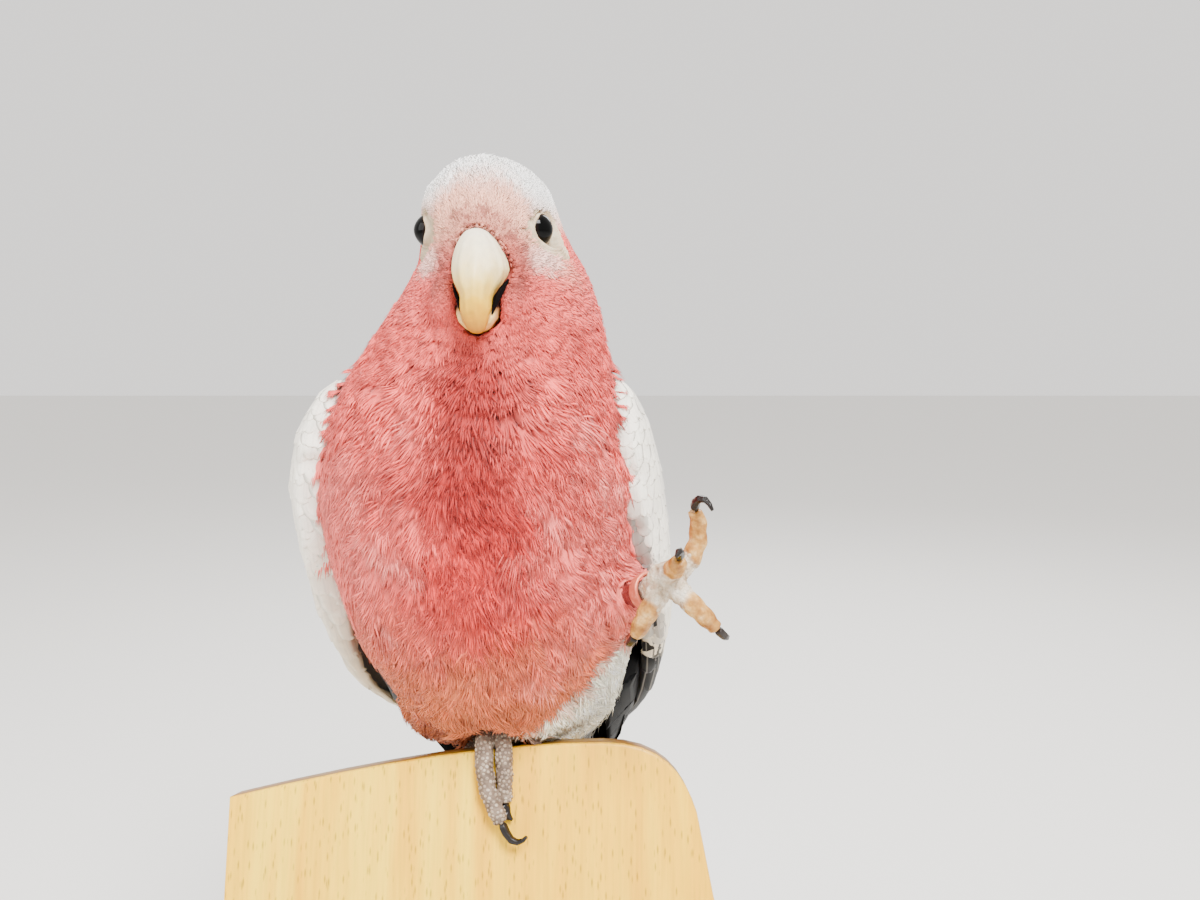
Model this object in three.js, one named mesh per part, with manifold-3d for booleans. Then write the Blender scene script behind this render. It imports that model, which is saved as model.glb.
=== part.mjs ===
// Galah (Eolophus roseicapilla), life-size display model.
// A plump adult cockatoo stands on its right foot on the top edge of a cut length of
// chair-back board and holds its left foot forward. The board is carried by two short
// rods on a flat base.
//
// Millimetres, +Z up. The origin is the centre of the base's underside. The bird faces
// -Y, so its left side is +X. The bird and its board are in one group, whose origin is
// just over the edge that the standing foot grips.

import * as THREE from 'three';
import { mergeVertices } from 'three/addons/utils/BufferGeometryUtils.js';
import Module from 'manifold-3d';

const wasm = await Module();
wasm.setup();

// ---------------------------------------------------------------- driving dimensions

const GAP = 0.3; // clearance between neighbouring solids
const BODY_RINGS = 26;
const BODY_SIDES = 20;
const WING_RINGS = 13;
const WING_SLICES = 6;
const FLIGHT_RINGS = 8;
const FLIGHT_SLICES = 4;
const THIGH_RINGS = 6;
const THIGH_SIDES = 9;
const SHANK_RINGS = 6;
const SHANK_SIDES = 8;

const BASE_WIDTH = 184;
const BASE_DEPTH = 172;
const BASE_THICKNESS = 12;
const BASE_CORNER = 18;

const GRIP_HEIGHT = 170; // height of the gripped edge above the base's underside
const GRIP_Y = -20; // place of the gripped edge, front to back
const BOARD_LEFT = -76; // cut end of the board
const BOARD_RIGHT = 71; // finished side of the board
const BOARD_CROWN = -1.6; // highest point of the top edge, from the gripped edge
const BOARD_FALL = 15.6; // how far the top edge falls to the cut end
const BOARD_THICKNESS = 12;
const BOARD_BOTTOM = -62; // level cut under the board, from the gripped edge
const BOARD_LEAN = 15; // degrees that the board leans back
const ROD_RADIUS = 4;
const ROD_X = [-34, 38];

const EYE_RADIUS = 5.2;
const EYE_HEIGHT = 149.3;
const EYE_FORWARD = -4.2;
const EYE_SPREAD = 14.8; // from the head's middle to each eyeball's centre
const EYE_STAGGER = 1.2; // the head is turned, so its left eye is this much further forward
const HEAD_X = 0.1;

// Cheek beside the bill: across from the head's middle, y, z, then its half sizes.
const CHEEK = [8.8, -17.0, 127.5, 5.6, 8.6, 8.4];

const RING_RADIUS = 5.4;
const RING_WALL = 0.8;
const RING_HEIGHT = 4.2;

const TAIL_LENGTH = 140;
const TAIL_ROOT = [7, 66, -12];
const TAIL_DIP = 57; // degrees under the horizontal
const TAIL_YAW = 5; // degrees towards the bird's left

// Body outline. Each row is one cross-section: x, y, z of its middle, its pitch in
// degrees (0 is level, more dips the front), half width, front depth, back depth, and
// how boxy it is (1 is a plain oval, less is boxier).
const BODY = [
  [-0.9, 5.0, 171.4, 0, 2.5, 3.0, 3.0, 1],
  [-0.4, 5.5, 170.3, 0, 8.0, 9.0, 8.5, 1],
  [0.4, 6.0, 166.8, 0, 13.6, 16.5, 15.5, 1],
  [0.6, 6.2, 161.0, 0, 18.6, 22.8, 21.5, 1],
  [0.9, 6.5, 154.3, 0, 20.3, 26.2, 24.2, 1],
  [2.3, 6.5, 147.0, 0, 21.9, 26.6, 25.6, 1],
  [4.0, 6.0, 139.5, 0, 24.8, 26.4, 26.4, 1],
  [3.2, 5.0, 131.0, 2, 29.2, 25.6, 28.2, 1],
  [0.4, 5.0, 119.0, 5, 34.8, 31.0, 31.0, 1],
  [-3.0, 6.5, 103.0, 11, 41.8, 41.5, 35.0, 0.95],
  [-4.2, 9.5, 84.0, 19, 46.0, 49.5, 39.0, 0.92],
  [-2.4, 16.0, 62.0, 26, 47.2, 53.0, 41.0, 0.9],
  [1.3, 26.5, 40.0, 32, 44.2, 54.0, 38.5, 0.88],
  [5.2, 40.0, 21.0, 35, 38.0, 46.5, 31.5, 0.86],
  [8.6, 53.0, 3.5, 36, 32.4, 32.0, 24.0, 0.9],
  [10.0, 62.5, -11.0, 35, 26.4, 18.5, 16.5, 1],
  [10.0, 70.0, -23.0, 34, 21.5, 12.5, 10.5, 1],
  [8.8, 78.0, -36.0, 33, 15.0, 9.5, 7.6, 1],
  [9.8, 86.0, -49.0, 33, 11.5, 7.0, 4.6, 1],
  [10.6, 92.0, -59.0, 33, 6.0, 3.6, 2.4, 1],
];

// Wing envelope around the body: x, y, z of the middle, pitch, outer half width, outer
// back depth, then the angles of the front and back edges seen along the body (0 is
// the breast, 180 the spine) and the thickness.
const WING = [
  [-2.5, 7.5, 109.5, 9, 40.0, 33.0, 88, 110, 1.4],
  [-4.0, 8.5, 101.0, 12, 48.8, 37.5, 71, 132, 6.0],
  [-5.0, 11.0, 85.0, 19, 55.6, 42.0, 63, 147, 9.4],
  [-3.0, 16.5, 63.0, 26, 57.6, 44.5, 64, 160, 10.2],
  [-0.6, 26.5, 40.0, 32, 57.6, 43.0, 69, 170, 9.2],
  [0.0, 40.0, 20.0, 35, 55.8, 38.0, 74, 176, 6.0],
  [0.6, 53.0, 1.5, 36, 51.8, 32.0, 78, 178, 4.4],
  [3.4, 65.0, -17.0, 36, 43.6, 25.5, 92, 178, 3.0],
  [7.0, 77.0, -36.0, 36, 33.0, 19.5, 116, 177, 2.0],
  [9.2, 86.0, -49.5, 36, 26.0, 16.5, 135, 171, 1.3],
  [10.4, 91.5, -58.0, 36, 22.0, 15.0, 149, 165, 0.8],
];

// Long dark flight feathers of the folded wing, the same columns as the wing.
const PRIMARIES = [
  [1.8, 40.0, 20.0, 35, 46.8, 31.5, 52, 104, 1.7],
  [3.2, 53.0, 1.5, 36, 43.6, 27.0, 54, 116, 1.7],
  [4.6, 65.0, -17.0, 36, 38.4, 22.0, 68, 130, 1.6],
  [7.0, 77.0, -36.0, 36, 30.4, 17.2, 90, 146, 1.5],
  [9.4, 88.0, -54.0, 36, 24.0, 15.0, 114, 162, 1.4],
  [11.2, 99.0, -71.5, 36, 19.5, 13.6, 130, 168, 1.3],
  [12.6, 109.0, -87.5, 36, 17.0, 12.6, 150, 167, 1.1],
];

// Upper bill in level slices: height, middle, front, back and half width.
const UPPER_BILL = [
  [147.8, -0.1, -20.6, -16.0, 1.4],
  [146.7, -0.1, -23.8, -14.0, 3.4],
  [144.2, 0.2, -28.0, -13.0, 5.3],
  [140.9, 0.6, -31.6, -13.0, 6.9],
  [137.4, 0.9, -34.0, -14.0, 7.7],
  [134.2, 0.7, -35.3, -16.0, 6.8],
  [131.0, 0.6, -35.9, -20.5, 5.5],
  [127.4, 0.7, -35.7, -25.0, 4.5],
  [123.8, 0.9, -34.9, -28.6, 3.6],
  [121.2, 1.1, -33.7, -30.0, 2.7],
  [120.0, 1.1, -32.6, -30.8, 1.4],
];

// Lower bill in slices from the throat forwards: y, middle, bottom, top, half width.
const LOWER_BILL = [
  [-12.0, 0.7, 120.8, 130.5, 5.4],
  [-17.0, 0.7, 120.2, 132.0, 5.8],
  [-22.0, 0.6, 120.1, 130.8, 5.7],
  [-26.5, 0.6, 120.3, 128.4, 5.3],
  [-29.8, 0.6, 120.9, 126.8, 4.7],
  [-31.6, 0.6, 122.0, 125.6, 3.4],
];

// ------------------------------------------------------------------------- helpers

const DEG = Math.PI / 180;

// Smooth curve through rows of numbers, read at t from 0 to 1.
function blend(rows, t) {
  const last = rows.length - 1;
  const at = Math.min(t * last, last - 1e-9);
  const i = Math.floor(at);
  const u = at - i;
  const before = rows[Math.max(i - 1, 0)];
  const from = rows[i];
  const to = rows[i + 1];
  const after = rows[Math.min(i + 2, last)];
  return from.map((value, k) => {
    const slopeIn = (to[k] - before[k]) / 2;
    const slopeOut = (after[k] - value) / 2;
    const rise = to[k] - value;
    const bend = 3 * rise - 2 * slopeIn - slopeOut;
    const twist = slopeIn + slopeOut - 2 * rise;
    return value + u * (slopeIn + u * (bend + u * twist));
  });
}

// Closed body over rings with the same number of points, with a fan over each end.
function skinRings(rings) {
  const sides = rings[0].length;
  const points = rings.flat();
  const faces = [];
  for (let r = 0; r < rings.length - 1; r++) {
    for (let s = 0; s < sides; s++) {
      const a = r * sides + s;
      const b = r * sides + ((s + 1) % sides);
      faces.push(a, b, b + sides, a, b + sides, a + sides);
    }
  }
  for (const [ring, flip] of [[0, true], [rings.length - 1, false]]) {
    const middle = new THREE.Vector3();
    rings[ring].forEach((p) => middle.addScaledVector(p, 1 / sides));
    const hub = points.length;
    points.push(middle);
    for (let s = 0; s < sides; s++) {
      const a = ring * sides + s;
      const b = ring * sides + ((s + 1) % sides);
      faces.push(...(flip ? [hub, b, a] : [hub, a, b]));
    }
  }
  return facingOut(points, faces);
}

// Geometry from points and triangles, turned inside out if its volume is negative.
function facingOut(points, faces) {
  let volume = 0;
  for (let f = 0; f < faces.length; f += 3) {
    const [a, b, c] = [points[faces[f]], points[faces[f + 1]], points[faces[f + 2]]];
    volume += a.dot(b.clone().cross(c));
  }
  if (volume < 0) {
    faces.reverse();
  }
  const geometry = new THREE.BufferGeometry();
  geometry.setAttribute(
    'position',
    new THREE.Float32BufferAttribute(points.flatMap((p) => p.toArray()), 3),
  );
  geometry.setIndex(faces);
  return geometry;
}

// Manifold solid from a three.js geometry whose shared corners are merged first.
function solid(geometry, matrix) {
  const bare = geometry.clone();
  bare.deleteAttribute('normal');
  bare.deleteAttribute('uv');
  if (matrix) {
    bare.applyMatrix4(matrix);
  }
  const merged = mergeVertices(bare, 1e-4);
  return new wasm.Manifold(
    new wasm.Mesh({
      numProp: 3,
      vertProperties: new Float32Array(merged.getAttribute('position').array),
      triVerts: new Uint32Array(merged.getIndex().array),
    }),
  );
}

// three.js geometry back from a manifold solid.
function geometryOf(body) {
  const mesh = body.getMesh();
  const geometry = new THREE.BufferGeometry();
  const xyz = new Float32Array(mesh.numVert * 3);
  for (let v = 0; v < mesh.numVert; v++) {
    for (let k = 0; k < 3; k++) {
      xyz[v * 3 + k] = mesh.vertProperties[v * mesh.numProp + k];
    }
  }
  geometry.setAttribute('position', new THREE.BufferAttribute(xyz, 3));
  geometry.setIndex(new THREE.BufferAttribute(new Uint32Array(mesh.triVerts), 1));
  return geometry;
}

// The largest piece of a cut solid.
function largest(body) {
  const pieces = body.decompose();
  return pieces.reduce((a, b) => (a.volume() > b.volume() ? a : b));
}

// Ring of a pitched oval: half width w, front depth f and back depth b.
function oval([x, y, z, pitch, w, f, b, boxy = 1], sides, grow = 0) {
  const ring = [];
  const dip = pitch * DEG;
  const bulge = (v) => Math.sign(v) * Math.abs(v) ** boxy;
  for (let s = 0; s < sides; s++) {
    const turn = (s / sides) * 2 * Math.PI;
    const across = (w + grow) * bulge(Math.sin(turn));
    const ahead = ((Math.cos(turn) > 0 ? f : b) + grow) * bulge(Math.cos(turn));
    ring.push(new THREE.Vector3(
      x + across,
      y - ahead * Math.cos(dip),
      z - ahead * Math.sin(dip),
    ));
  }
  return ring;
}

function ovalLoft(rows, steps, sides, grow = 0) {
  const rings = [];
  for (let i = 0; i <= steps; i++) {
    rings.push(oval(blend(rows, i / steps), sides, grow));
  }
  return skinRings(rings);
}

// Round limb through points of [x, y, z, radius]; flat is height over width.
function limb(rows, steps, sides, grow = 0, flat = 1) {
  const rings = [];
  const at = (t) => new THREE.Vector3(...blend(rows, t).slice(0, 3));
  let side = new THREE.Vector3(1, 0, 0);
  for (let i = 0; i <= steps; i++) {
    const t = i / steps;
    const along = at(Math.min(t + 0.01, 1)).sub(at(Math.max(t - 0.01, 0))).normalize();
    side = side.addScaledVector(along, -side.dot(along)).normalize();
    const up = along.clone().cross(side);
    const middle = at(t);
    const radius = blend(rows, t)[3] + grow;
    const ring = [];
    for (let s = 0; s < sides; s++) {
      const turn = (s / sides) * 2 * Math.PI;
      ring.push(middle.clone()
        .addScaledVector(side, radius * Math.cos(turn))
        .addScaledVector(up, radius * flat * Math.sin(turn)));
    }
    rings.push(ring);
    side = side.clone();
  }
  return skinRings(rings);
}

// Curved blade wrapped round the body from its front edge to its back edge.
function blade(rows, side, steps, slices, grow = 0) {
  const rings = [];
  for (let i = 0; i <= steps; i++) {
    const [x, y, z, pitch, w, b, front, back, thick] = blend(rows, i / steps);
    const dip = pitch * DEG;
    const swell = (edge) => 0.25 + 0.75 * Math.sin(Math.PI * (0.42 + 0.55 * edge)) ** 0.6;
    const place = (edge, depth) => {
      const turn = (front + (back - front) * edge) * DEG;
      const across = (w - depth) * Math.sin(turn) * side;
      const ahead = (b - depth) * Math.cos(turn);
      return new THREE.Vector3(
        x + across,
        y - ahead * Math.cos(dip),
        z - ahead * Math.sin(dip),
      );
    };
    const ring = [];
    const margin = grow / w / ((back - front) * DEG);
    for (let s = 0; s <= slices; s++) {
      const edge = s / slices;
      const wide = edge + (2 * edge - 1) * margin;
      ring.push(place(wide, -grow));
    }
    for (let s = slices; s >= 0; s--) {
      const edge = s / slices;
      const wide = edge + (2 * edge - 1) * margin;
      const depth = Math.max(thick * swell(edge), 0.7);
      ring.push(place(wide, depth + grow));
    }
    rings.push(ring);
  }
  return skinRings(rings);
}

// ----------------------------------------------------------------- head, neck, trunk

function eyeCentre(side) {
  return new THREE.Vector3(
    HEAD_X + side * EYE_SPREAD,
    EYE_FORWARD - side * EYE_STAGGER,
    EYE_HEIGHT,
  );
}

function eyeball(grow = 0) {
  return new THREE.SphereGeometry(EYE_RADIUS + grow, 11, 7);
}

// Short crest folded flat on the back of the crown.
function crest() {
  const rows = [
    [-0.4, 4.0, 160.0, 9.0],
    [-0.4, 14.0, 160.0, 11.5],
    [-0.4, 24.0, 158.0, 10.5],
    [-0.4, 32.0, 155.4, 6.5],
    [-0.4, 37.5, 154.6, 2.0],
  ];
  return limb(rows, 5, 8, 0, 0.62);
}

// Puffed cheek beside the bill.
function cheek(side) {
  const [across, y, z, wide, long, high] = CHEEK;
  const place = new THREE.Matrix4()
    .makeTranslation(HEAD_X + side * across, y, z)
    .scale(new THREE.Vector3(wide, long, high));
  return solid(new THREE.SphereGeometry(1, 8, 6), place);
}

function upperBill(grow = 0) {
  const rings = [];
  const steps = 12;
  for (let i = 0; i <= steps; i++) {
    const [z, x, front, back, w] = blend(UPPER_BILL, i / steps);
    const middle = back - Math.min(5, (back - front) / 2);
    const end = i === 0 ? grow : i === steps ? -grow : 0;
    rings.push(oval([x, middle, z + end, 0, w, middle - front, back - middle], 12, grow));
  }
  return skinRings(rings);
}

function lowerBill(grow = 0) {
  const rings = [];
  const steps = 7;
  const sides = 12;
  for (let i = 0; i <= steps; i++) {
    const [y, x, bottom, top, w] = blend(LOWER_BILL, i / steps);
    const end = i === 0 ? grow : i === steps ? -grow : 0;
    const middle = top - 2.5;
    const ring = [];
    for (let s = 0; s < sides; s++) {
      const turn = (s / sides) * 2 * Math.PI;
      const rise = Math.cos(turn) > 0 ? top - middle : middle - bottom;
      ring.push(new THREE.Vector3(
        x + (w + grow) * Math.sin(turn),
        y + end,
        middle + (rise + grow) * Math.cos(turn),
      ));
    }
    rings.push(ring);
  }
  return skinRings(rings);
}

// Feathered thighs, as points with a radius from inside the flank to the bare shank.
const THIGH_LEFT = [
  [22, 14, 36, 13],
  [32, 2, 41, 15],
  [40, -8, 45, 10.5],
  [44.2, -14.5, 46.8, 5.2],
];

const THIGH_RIGHT = [
  [-20.0, 24.0, 14.0, 11.5],
  [-19.0, 15.0, 6.0, 12.5],
  [-12.0, 8.0, 3.0, 9.5],
  [-5.0, 4.5, 4.0, 6.0],
];

// ------------------------------------------------------------------------ legs, feet

// Standing leg: bare shank and the toes that grip the board's edge, numbered as in
// anatomy. Every row here is x, y, z and a radius.
const SHANK_RIGHT = [
  [-8.5, 15.0, 15.5, 3.4],
  [-4.0, 8.0, 8.8, 3.5],
  [0.5, 1.5, 3.6, 4.2],
  [2.0, -1.5, 2.0, 4.4],
];

const TOES_RIGHT = {
  1: [[3.4, -1.0, 1.6, 2.8], [6.4, 6.2, -1.8, 2.6], [7.6, 7.0, -7.5, 2.3], [8.0, 5.0, -13.0, 1.8]],
  2: [[2.6, 1.0, 1.4, 2.8], [4.3, -6.4, 0.6, 2.6], [4.9, -9.1, -5.2, 2.4], [5.1, -10.8, -12.0, 2.2],
    [5.5, -11.9, -15.6, 1.8]],
  3: [[0.2, 1.0, 1.4, 2.9], [-1.1, -6.9, 0.6, 2.7], [-1.0, -9.9, -5.2, 2.5], [0.3, -11.9, -12.0, 2.4],
    [2.8, -13.7, -17.4, 2.3], [4.4, -14.6, -20.4, 2.0]],
  4: [[-0.4, -1.0, 1.6, 2.9], [-4.6, 6.3, -2.2, 2.7], [-6.8, 6.8, -8.5, 2.4], [-8.2, 5.0, -14.6, 2.2],
    [-8.8, 3.4, -18.6, 1.7]],
};

const CLAWS_RIGHT = {
  1: [[8.1, 4.7, -14.2, 1.25], [8.3, 4.6, -17.6, 1.0], [8.2, 2.8, -20.4, 0.5]],
  2: [[5.6, -12.0, -16.6, 1.25], [6.1, -12.9, -18.9, 1.05], [7.5, -13.3, -20.5, 0.5]],
  3: [[4.8, -14.8, -21.3, 1.4], [6.9, -16.2, -24.7, 1.25], [9.8, -16.8, -25.5, 0.9],
    [12.0, -16.8, -23.7, 0.45]],
  4: [[-8.9, 3.1, -19.8, 1.3], [-9.4, 2.8, -23.6, 1.1], [-9.6, 0.6, -26.6, 0.5]],
};

// Raised leg: the shank comes forward, and the sole faces ahead with spread toes.
const SHANK_LEFT = [
  [33.0, -1.0, 40.5, 3.6],
  [42.0, -12.5, 45.8, 3.5],
  [46.6, -20.0, 49.0, 3.4],
  [49.4, -28.0, 53.2, 3.8],
  [50.4, -32.5, 55.2, 4.2],
];

const TOES_LEFT = {
  1: [[50.0, -31, 54.6, 3.2], [47.6, -34.5, 50.4, 2.9], [44.6, -34.6, 45.2, 2.6], [42.6, -32.4, 40.2, 1.9]],
  4: [[51.4, -31, 54.6, 3.2], [55.2, -34.8, 51.2, 2.8], [59.6, -35.6, 47.0, 2.6], [63.4, -34.6, 42.8, 1.9]],
  3: [[50.6, -30, 55.6, 3.2], [55.0, -29.0, 57.4, 2.9], [58.6, -28.0, 62.0, 2.6], [59.4, -28.6, 68.4, 2.4],
    [58.2, -30.4, 73.0, 1.8]],
  2: [[50.4, -31, 56.0, 3.2], [51.6, -37.0, 58.6, 2.8], [52.4, -42.4, 60.8, 2.5], [52.8, -46.0, 63.2, 1.8]],
};

const CLAWS_LEFT = {
  1: [[42.2, -31.6, 39.2, 1.3], [40.8, -29.2, 36.8, 1.05], [40.8, -25.8, 36.2, 0.5]],
  4: [[64.2, -34.2, 42.0, 1.35], [66.4, -32.2, 39.6, 1.1], [67.2, -28.8, 38.8, 0.5]],
  3: [[57.9, -31.0, 74.2, 1.35], [58.6, -33.4, 76.8, 1.2], [60.6, -36.0, 76.8, 0.9],
    [62.0, -37.4, 74.4, 0.45]],
  2: [[52.9, -46.6, 64.2, 1.3], [52.6, -49.4, 66.2, 1.1], [51.6, -52.0, 65.4, 0.5]],
};

// Balls of the feet: x, y, z, then half sizes across, front to back and up.
const PALM_LEFT = [50.6, -31.5, 55.0, 5.2, 4.2, 4.8];
const PALM_RIGHT = [1.7, -0.5, 1.4, 5.6, 5.2, 4.0];

// Where the belly feathers part over the gripping foot.
const BELLY_PARTING = [
  [1.0, -16.0, -4.0, 6.0],
  [1.0, -5.0, 0.5, 7.6],
  [1.0, 6.0, 0.0, 8.6],
  [-1.0, 14.0, -7.0, 8.0],
];

// Shank, ball and toes joined into one foot.
function foot(shank, toes, palm, grow = 0) {
  let body = solid(limb(shank, SHANK_RINGS, SHANK_SIDES, grow));
  const ball = new THREE.SphereGeometry(1, 8, 6);
  const [x, y, z, across, along, up] = palm;
  const size = new THREE.Vector3(across + grow, along + grow, up + grow);
  const place = new THREE.Matrix4().makeTranslation(x, y, z).scale(size);
  body = body.add(solid(ball, place));
  for (const rows of Object.values(toes)) {
    body = body.add(solid(limb(rows, 5, 7, grow)));
  }
  return body;
}

function claw(rows, grow = 0) {
  return limb(rows, 5, 5, grow);
}

// ----------------------------------------------------------------------------- tail

// Folded tail: broad, thin and nearly square at its end.
function tail(grow = 0) {
  const along = new THREE.Vector3(
    Math.sin(TAIL_YAW * DEG),
    Math.cos(TAIL_DIP * DEG),
    -Math.sin(TAIL_DIP * DEG),
  ).normalize();
  const side = new THREE.Vector3(1, -Math.sin(TAIL_YAW * DEG), 0);
  side.addScaledVector(along, -side.dot(along)).normalize();
  const up = side.clone().cross(along);
  const rows = [
    [0.0, 9.0, 4.6],
    [0.12, 15.0, 4.8],
    [0.3, 17.5, 3.8],
    [0.6, 19.0, 2.6],
    [0.85, 20.0, 1.6],
    [0.96, 18.5, 1.1],
    [1.0, 15.0, 0.7],
  ];
  const rings = [];
  const steps = 9;
  const sides = 12;
  for (let i = 0; i <= steps; i++) {
    const [t, w, h] = blend(rows, i / steps);
    const end = i === 0 ? -grow : i === steps ? grow : 0;
    const middle = new THREE.Vector3(...TAIL_ROOT).addScaledVector(along, t * TAIL_LENGTH + end);
    const ring = [];
    for (let s = 0; s < sides; s++) {
      const turn = (s / sides) * 2 * Math.PI;
      const across = Math.cos(turn);
      const arch = -2.2 * across * across;
      ring.push(middle.clone()
        .addScaledVector(side, (w + grow) * across)
        .addScaledVector(up, (h + grow) * Math.sin(turn) + arch));
    }
    rings.push(ring);
  }
  return skinRings(rings);
}

// ---------------------------------------------------------------------------- stand

// Big block used to keep the part of a solid on one side of a sloping cut.
function block(y, z, slope, above) {
  const size = 600;
  const box = new THREE.BoxGeometry(size, size, size);
  const turn = new THREE.Matrix4().makeRotationX(slope * DEG);
  const shift = new THREE.Matrix4().makeTranslation(0, 0, (above ? 0.5 : -0.5) * size);
  const place = new THREE.Matrix4().makeTranslation(0, y, z);
  return solid(box, place.multiply(turn).multiply(shift));
}

// Board with a softly rising top edge and one rounded upper corner, cut level below.
function board(grow = 0) {
  const lean = BOARD_LEAN * DEG;
  const shape = new THREE.Shape();
  const crown = BOARD_CROWN + grow;
  shape.moveTo(BOARD_LEFT - grow, BOARD_BOTTOM * 1.15);
  shape.lineTo(BOARD_LEFT - grow, crown - BOARD_FALL);
  shape.quadraticCurveTo(-10, crown, 34, crown);
  shape.bezierCurveTo(52, crown, 58 + grow, crown - 9, 61.5 + grow, crown - 20);
  shape.lineTo(BOARD_RIGHT + grow, BOARD_BOTTOM * 1.15);
  shape.closePath();
  const rim = 1.2;
  const sheet = new THREE.ExtrudeGeometry(shape, {
    depth: BOARD_THICKNESS - 2 * rim + 2 * grow,
    bevelEnabled: true,
    bevelThickness: rim,
    bevelSize: rim,
    bevelOffset: -rim,
    bevelSegments: 2,
    curveSegments: 8,
  });
  // The extrusion runs along +Z; stand it up so that its face looks along -Y.
  const stand = new THREE.Matrix4().makeRotationX(Math.PI / 2 - lean);
  const shift = new THREE.Matrix4().makeTranslation(0, 0, -BOARD_THICKNESS / 2 + rim - grow);
  const panel = solid(sheet, stand.multiply(shift));
  return panel.intersect(block(0, BOARD_BOTTOM, 0, true));
}

function base() {
  const shape = new THREE.Shape();
  const x = BASE_WIDTH / 2;
  const y = BASE_DEPTH / 2;
  const r = BASE_CORNER;
  shape.moveTo(-x + r, -y);
  shape.lineTo(x - r, -y);
  shape.absarc(x - r, -y + r, r, -Math.PI / 2, 0);
  shape.lineTo(x, y - r);
  shape.absarc(x - r, y - r, r, 0, Math.PI / 2);
  shape.lineTo(-x + r, y);
  shape.absarc(-x + r, y - r, r, Math.PI / 2, Math.PI);
  shape.lineTo(-x, -y + r);
  shape.absarc(-x + r, -y + r, r, Math.PI, 1.5 * Math.PI);
  return new THREE.ExtrudeGeometry(shape, {
    depth: BASE_THICKNESS,
    bevelEnabled: false,
    curveSegments: 4,
  });
}

// ------------------------------------------------------------------------- assembly

const colours = {
  pink: ['#dd8277', 0.9],
  pale: ['#f1e4de', 0.9],
  grey: ['#d9d6d0', 0.8],
  dark: ['#2f2f31', 0.7],
  bone: ['#ecdcbc', 0.45],
  iris: ['#17100d', 0.08],
  scale: ['#a5907d', 0.75],
  sole: ['#d9b07c', 0.7],
  claw: ['#3b332d', 0.35],
  band: ['#c9785f', 0.4],
  wood: ['#e9c389', 0.5],
  plate: ['#3a3937', 0.5],
  steel: ['#b9babb', 0.3, 0.9],
};

function named(name, geometry, finish) {
  const [color, roughness, metalness = 0] = colours[finish];
  const material = new THREE.MeshStandardMaterial({ color, roughness, metalness });
  const mesh = new THREE.Mesh(geometry, material);
  mesh.name = name;
  return mesh;
}

const bird = new THREE.Group();
bird.position.set(0, GRIP_Y, GRIP_HEIGHT);

const perch = board();
const perchRoom = board(GAP);

let body = solid(ovalLoft(BODY, BODY_RINGS, BODY_SIDES)).add(solid(crest()));
body = body.add(cheek(1)).add(cheek(-1));
const sides = { left: 1, right: -1 };
const legs = {
  left: foot(SHANK_LEFT, TOES_LEFT, PALM_LEFT),
  right: foot(SHANK_RIGHT, TOES_RIGHT, PALM_RIGHT).subtract(perchRoom),
};
const thighRows = { left: THIGH_LEFT, right: THIGH_RIGHT };
const footRoom = foot(SHANK_RIGHT, TOES_RIGHT, PALM_RIGHT, GAP);

body = body.subtract(solid(upperBill(GAP)));
body = body.subtract(solid(lowerBill(GAP)));
body = body.subtract(solid(tail(GAP)));
body = body.subtract(perchRoom);
body = body.subtract(solid(limb(BELLY_PARTING, 5, 8)));
body = body.subtract(footRoom);
body = body.subtract(solid(limb(SHANK_LEFT, SHANK_RINGS, SHANK_SIDES, GAP)));
for (const [name, side] of Object.entries(sides)) {
  const centre = eyeCentre(side);
  const socket = new THREE.Matrix4().makeTranslation(centre.x, centre.y, centre.z);
  body = body.subtract(solid(eyeball(GAP), socket));
  body = body.subtract(solid(blade(WING, side, WING_RINGS, WING_SLICES, GAP)));
  body = body.subtract(solid(blade(PRIMARIES, side, FLIGHT_RINGS, FLIGHT_SLICES, GAP)));
  body = body.subtract(solid(limb(thighRows[name], THIGH_RINGS, THIGH_SIDES, GAP)));
}

const HEAD_CUT = [0, 121.5, 12];
const NECK_CUT = [0, 98, 12];
const head = largest(body.intersect(block(HEAD_CUT[0], HEAD_CUT[1] + GAP, HEAD_CUT[2], true)));
const below = body.intersect(block(HEAD_CUT[0], HEAD_CUT[1], HEAD_CUT[2], false));
const neck = largest(below.intersect(block(NECK_CUT[0], NECK_CUT[1] + GAP, NECK_CUT[2], true)));
const trunk = largest(below.intersect(block(NECK_CUT[0], NECK_CUT[1], NECK_CUT[2], false)));

bird.add(named('head', geometryOf(head), 'pale'));
bird.add(named('neck', geometryOf(neck), 'pink'));
bird.add(named('trunk', geometryOf(trunk), 'pink'));

const upper = solid(upperBill());
bird.add(named('bill_upper', geometryOf(upper), 'bone'));
const lower = largest(solid(lowerBill()).subtract(solid(upperBill(GAP))));
bird.add(named('bill_lower', geometryOf(lower), 'bone'));

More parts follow.
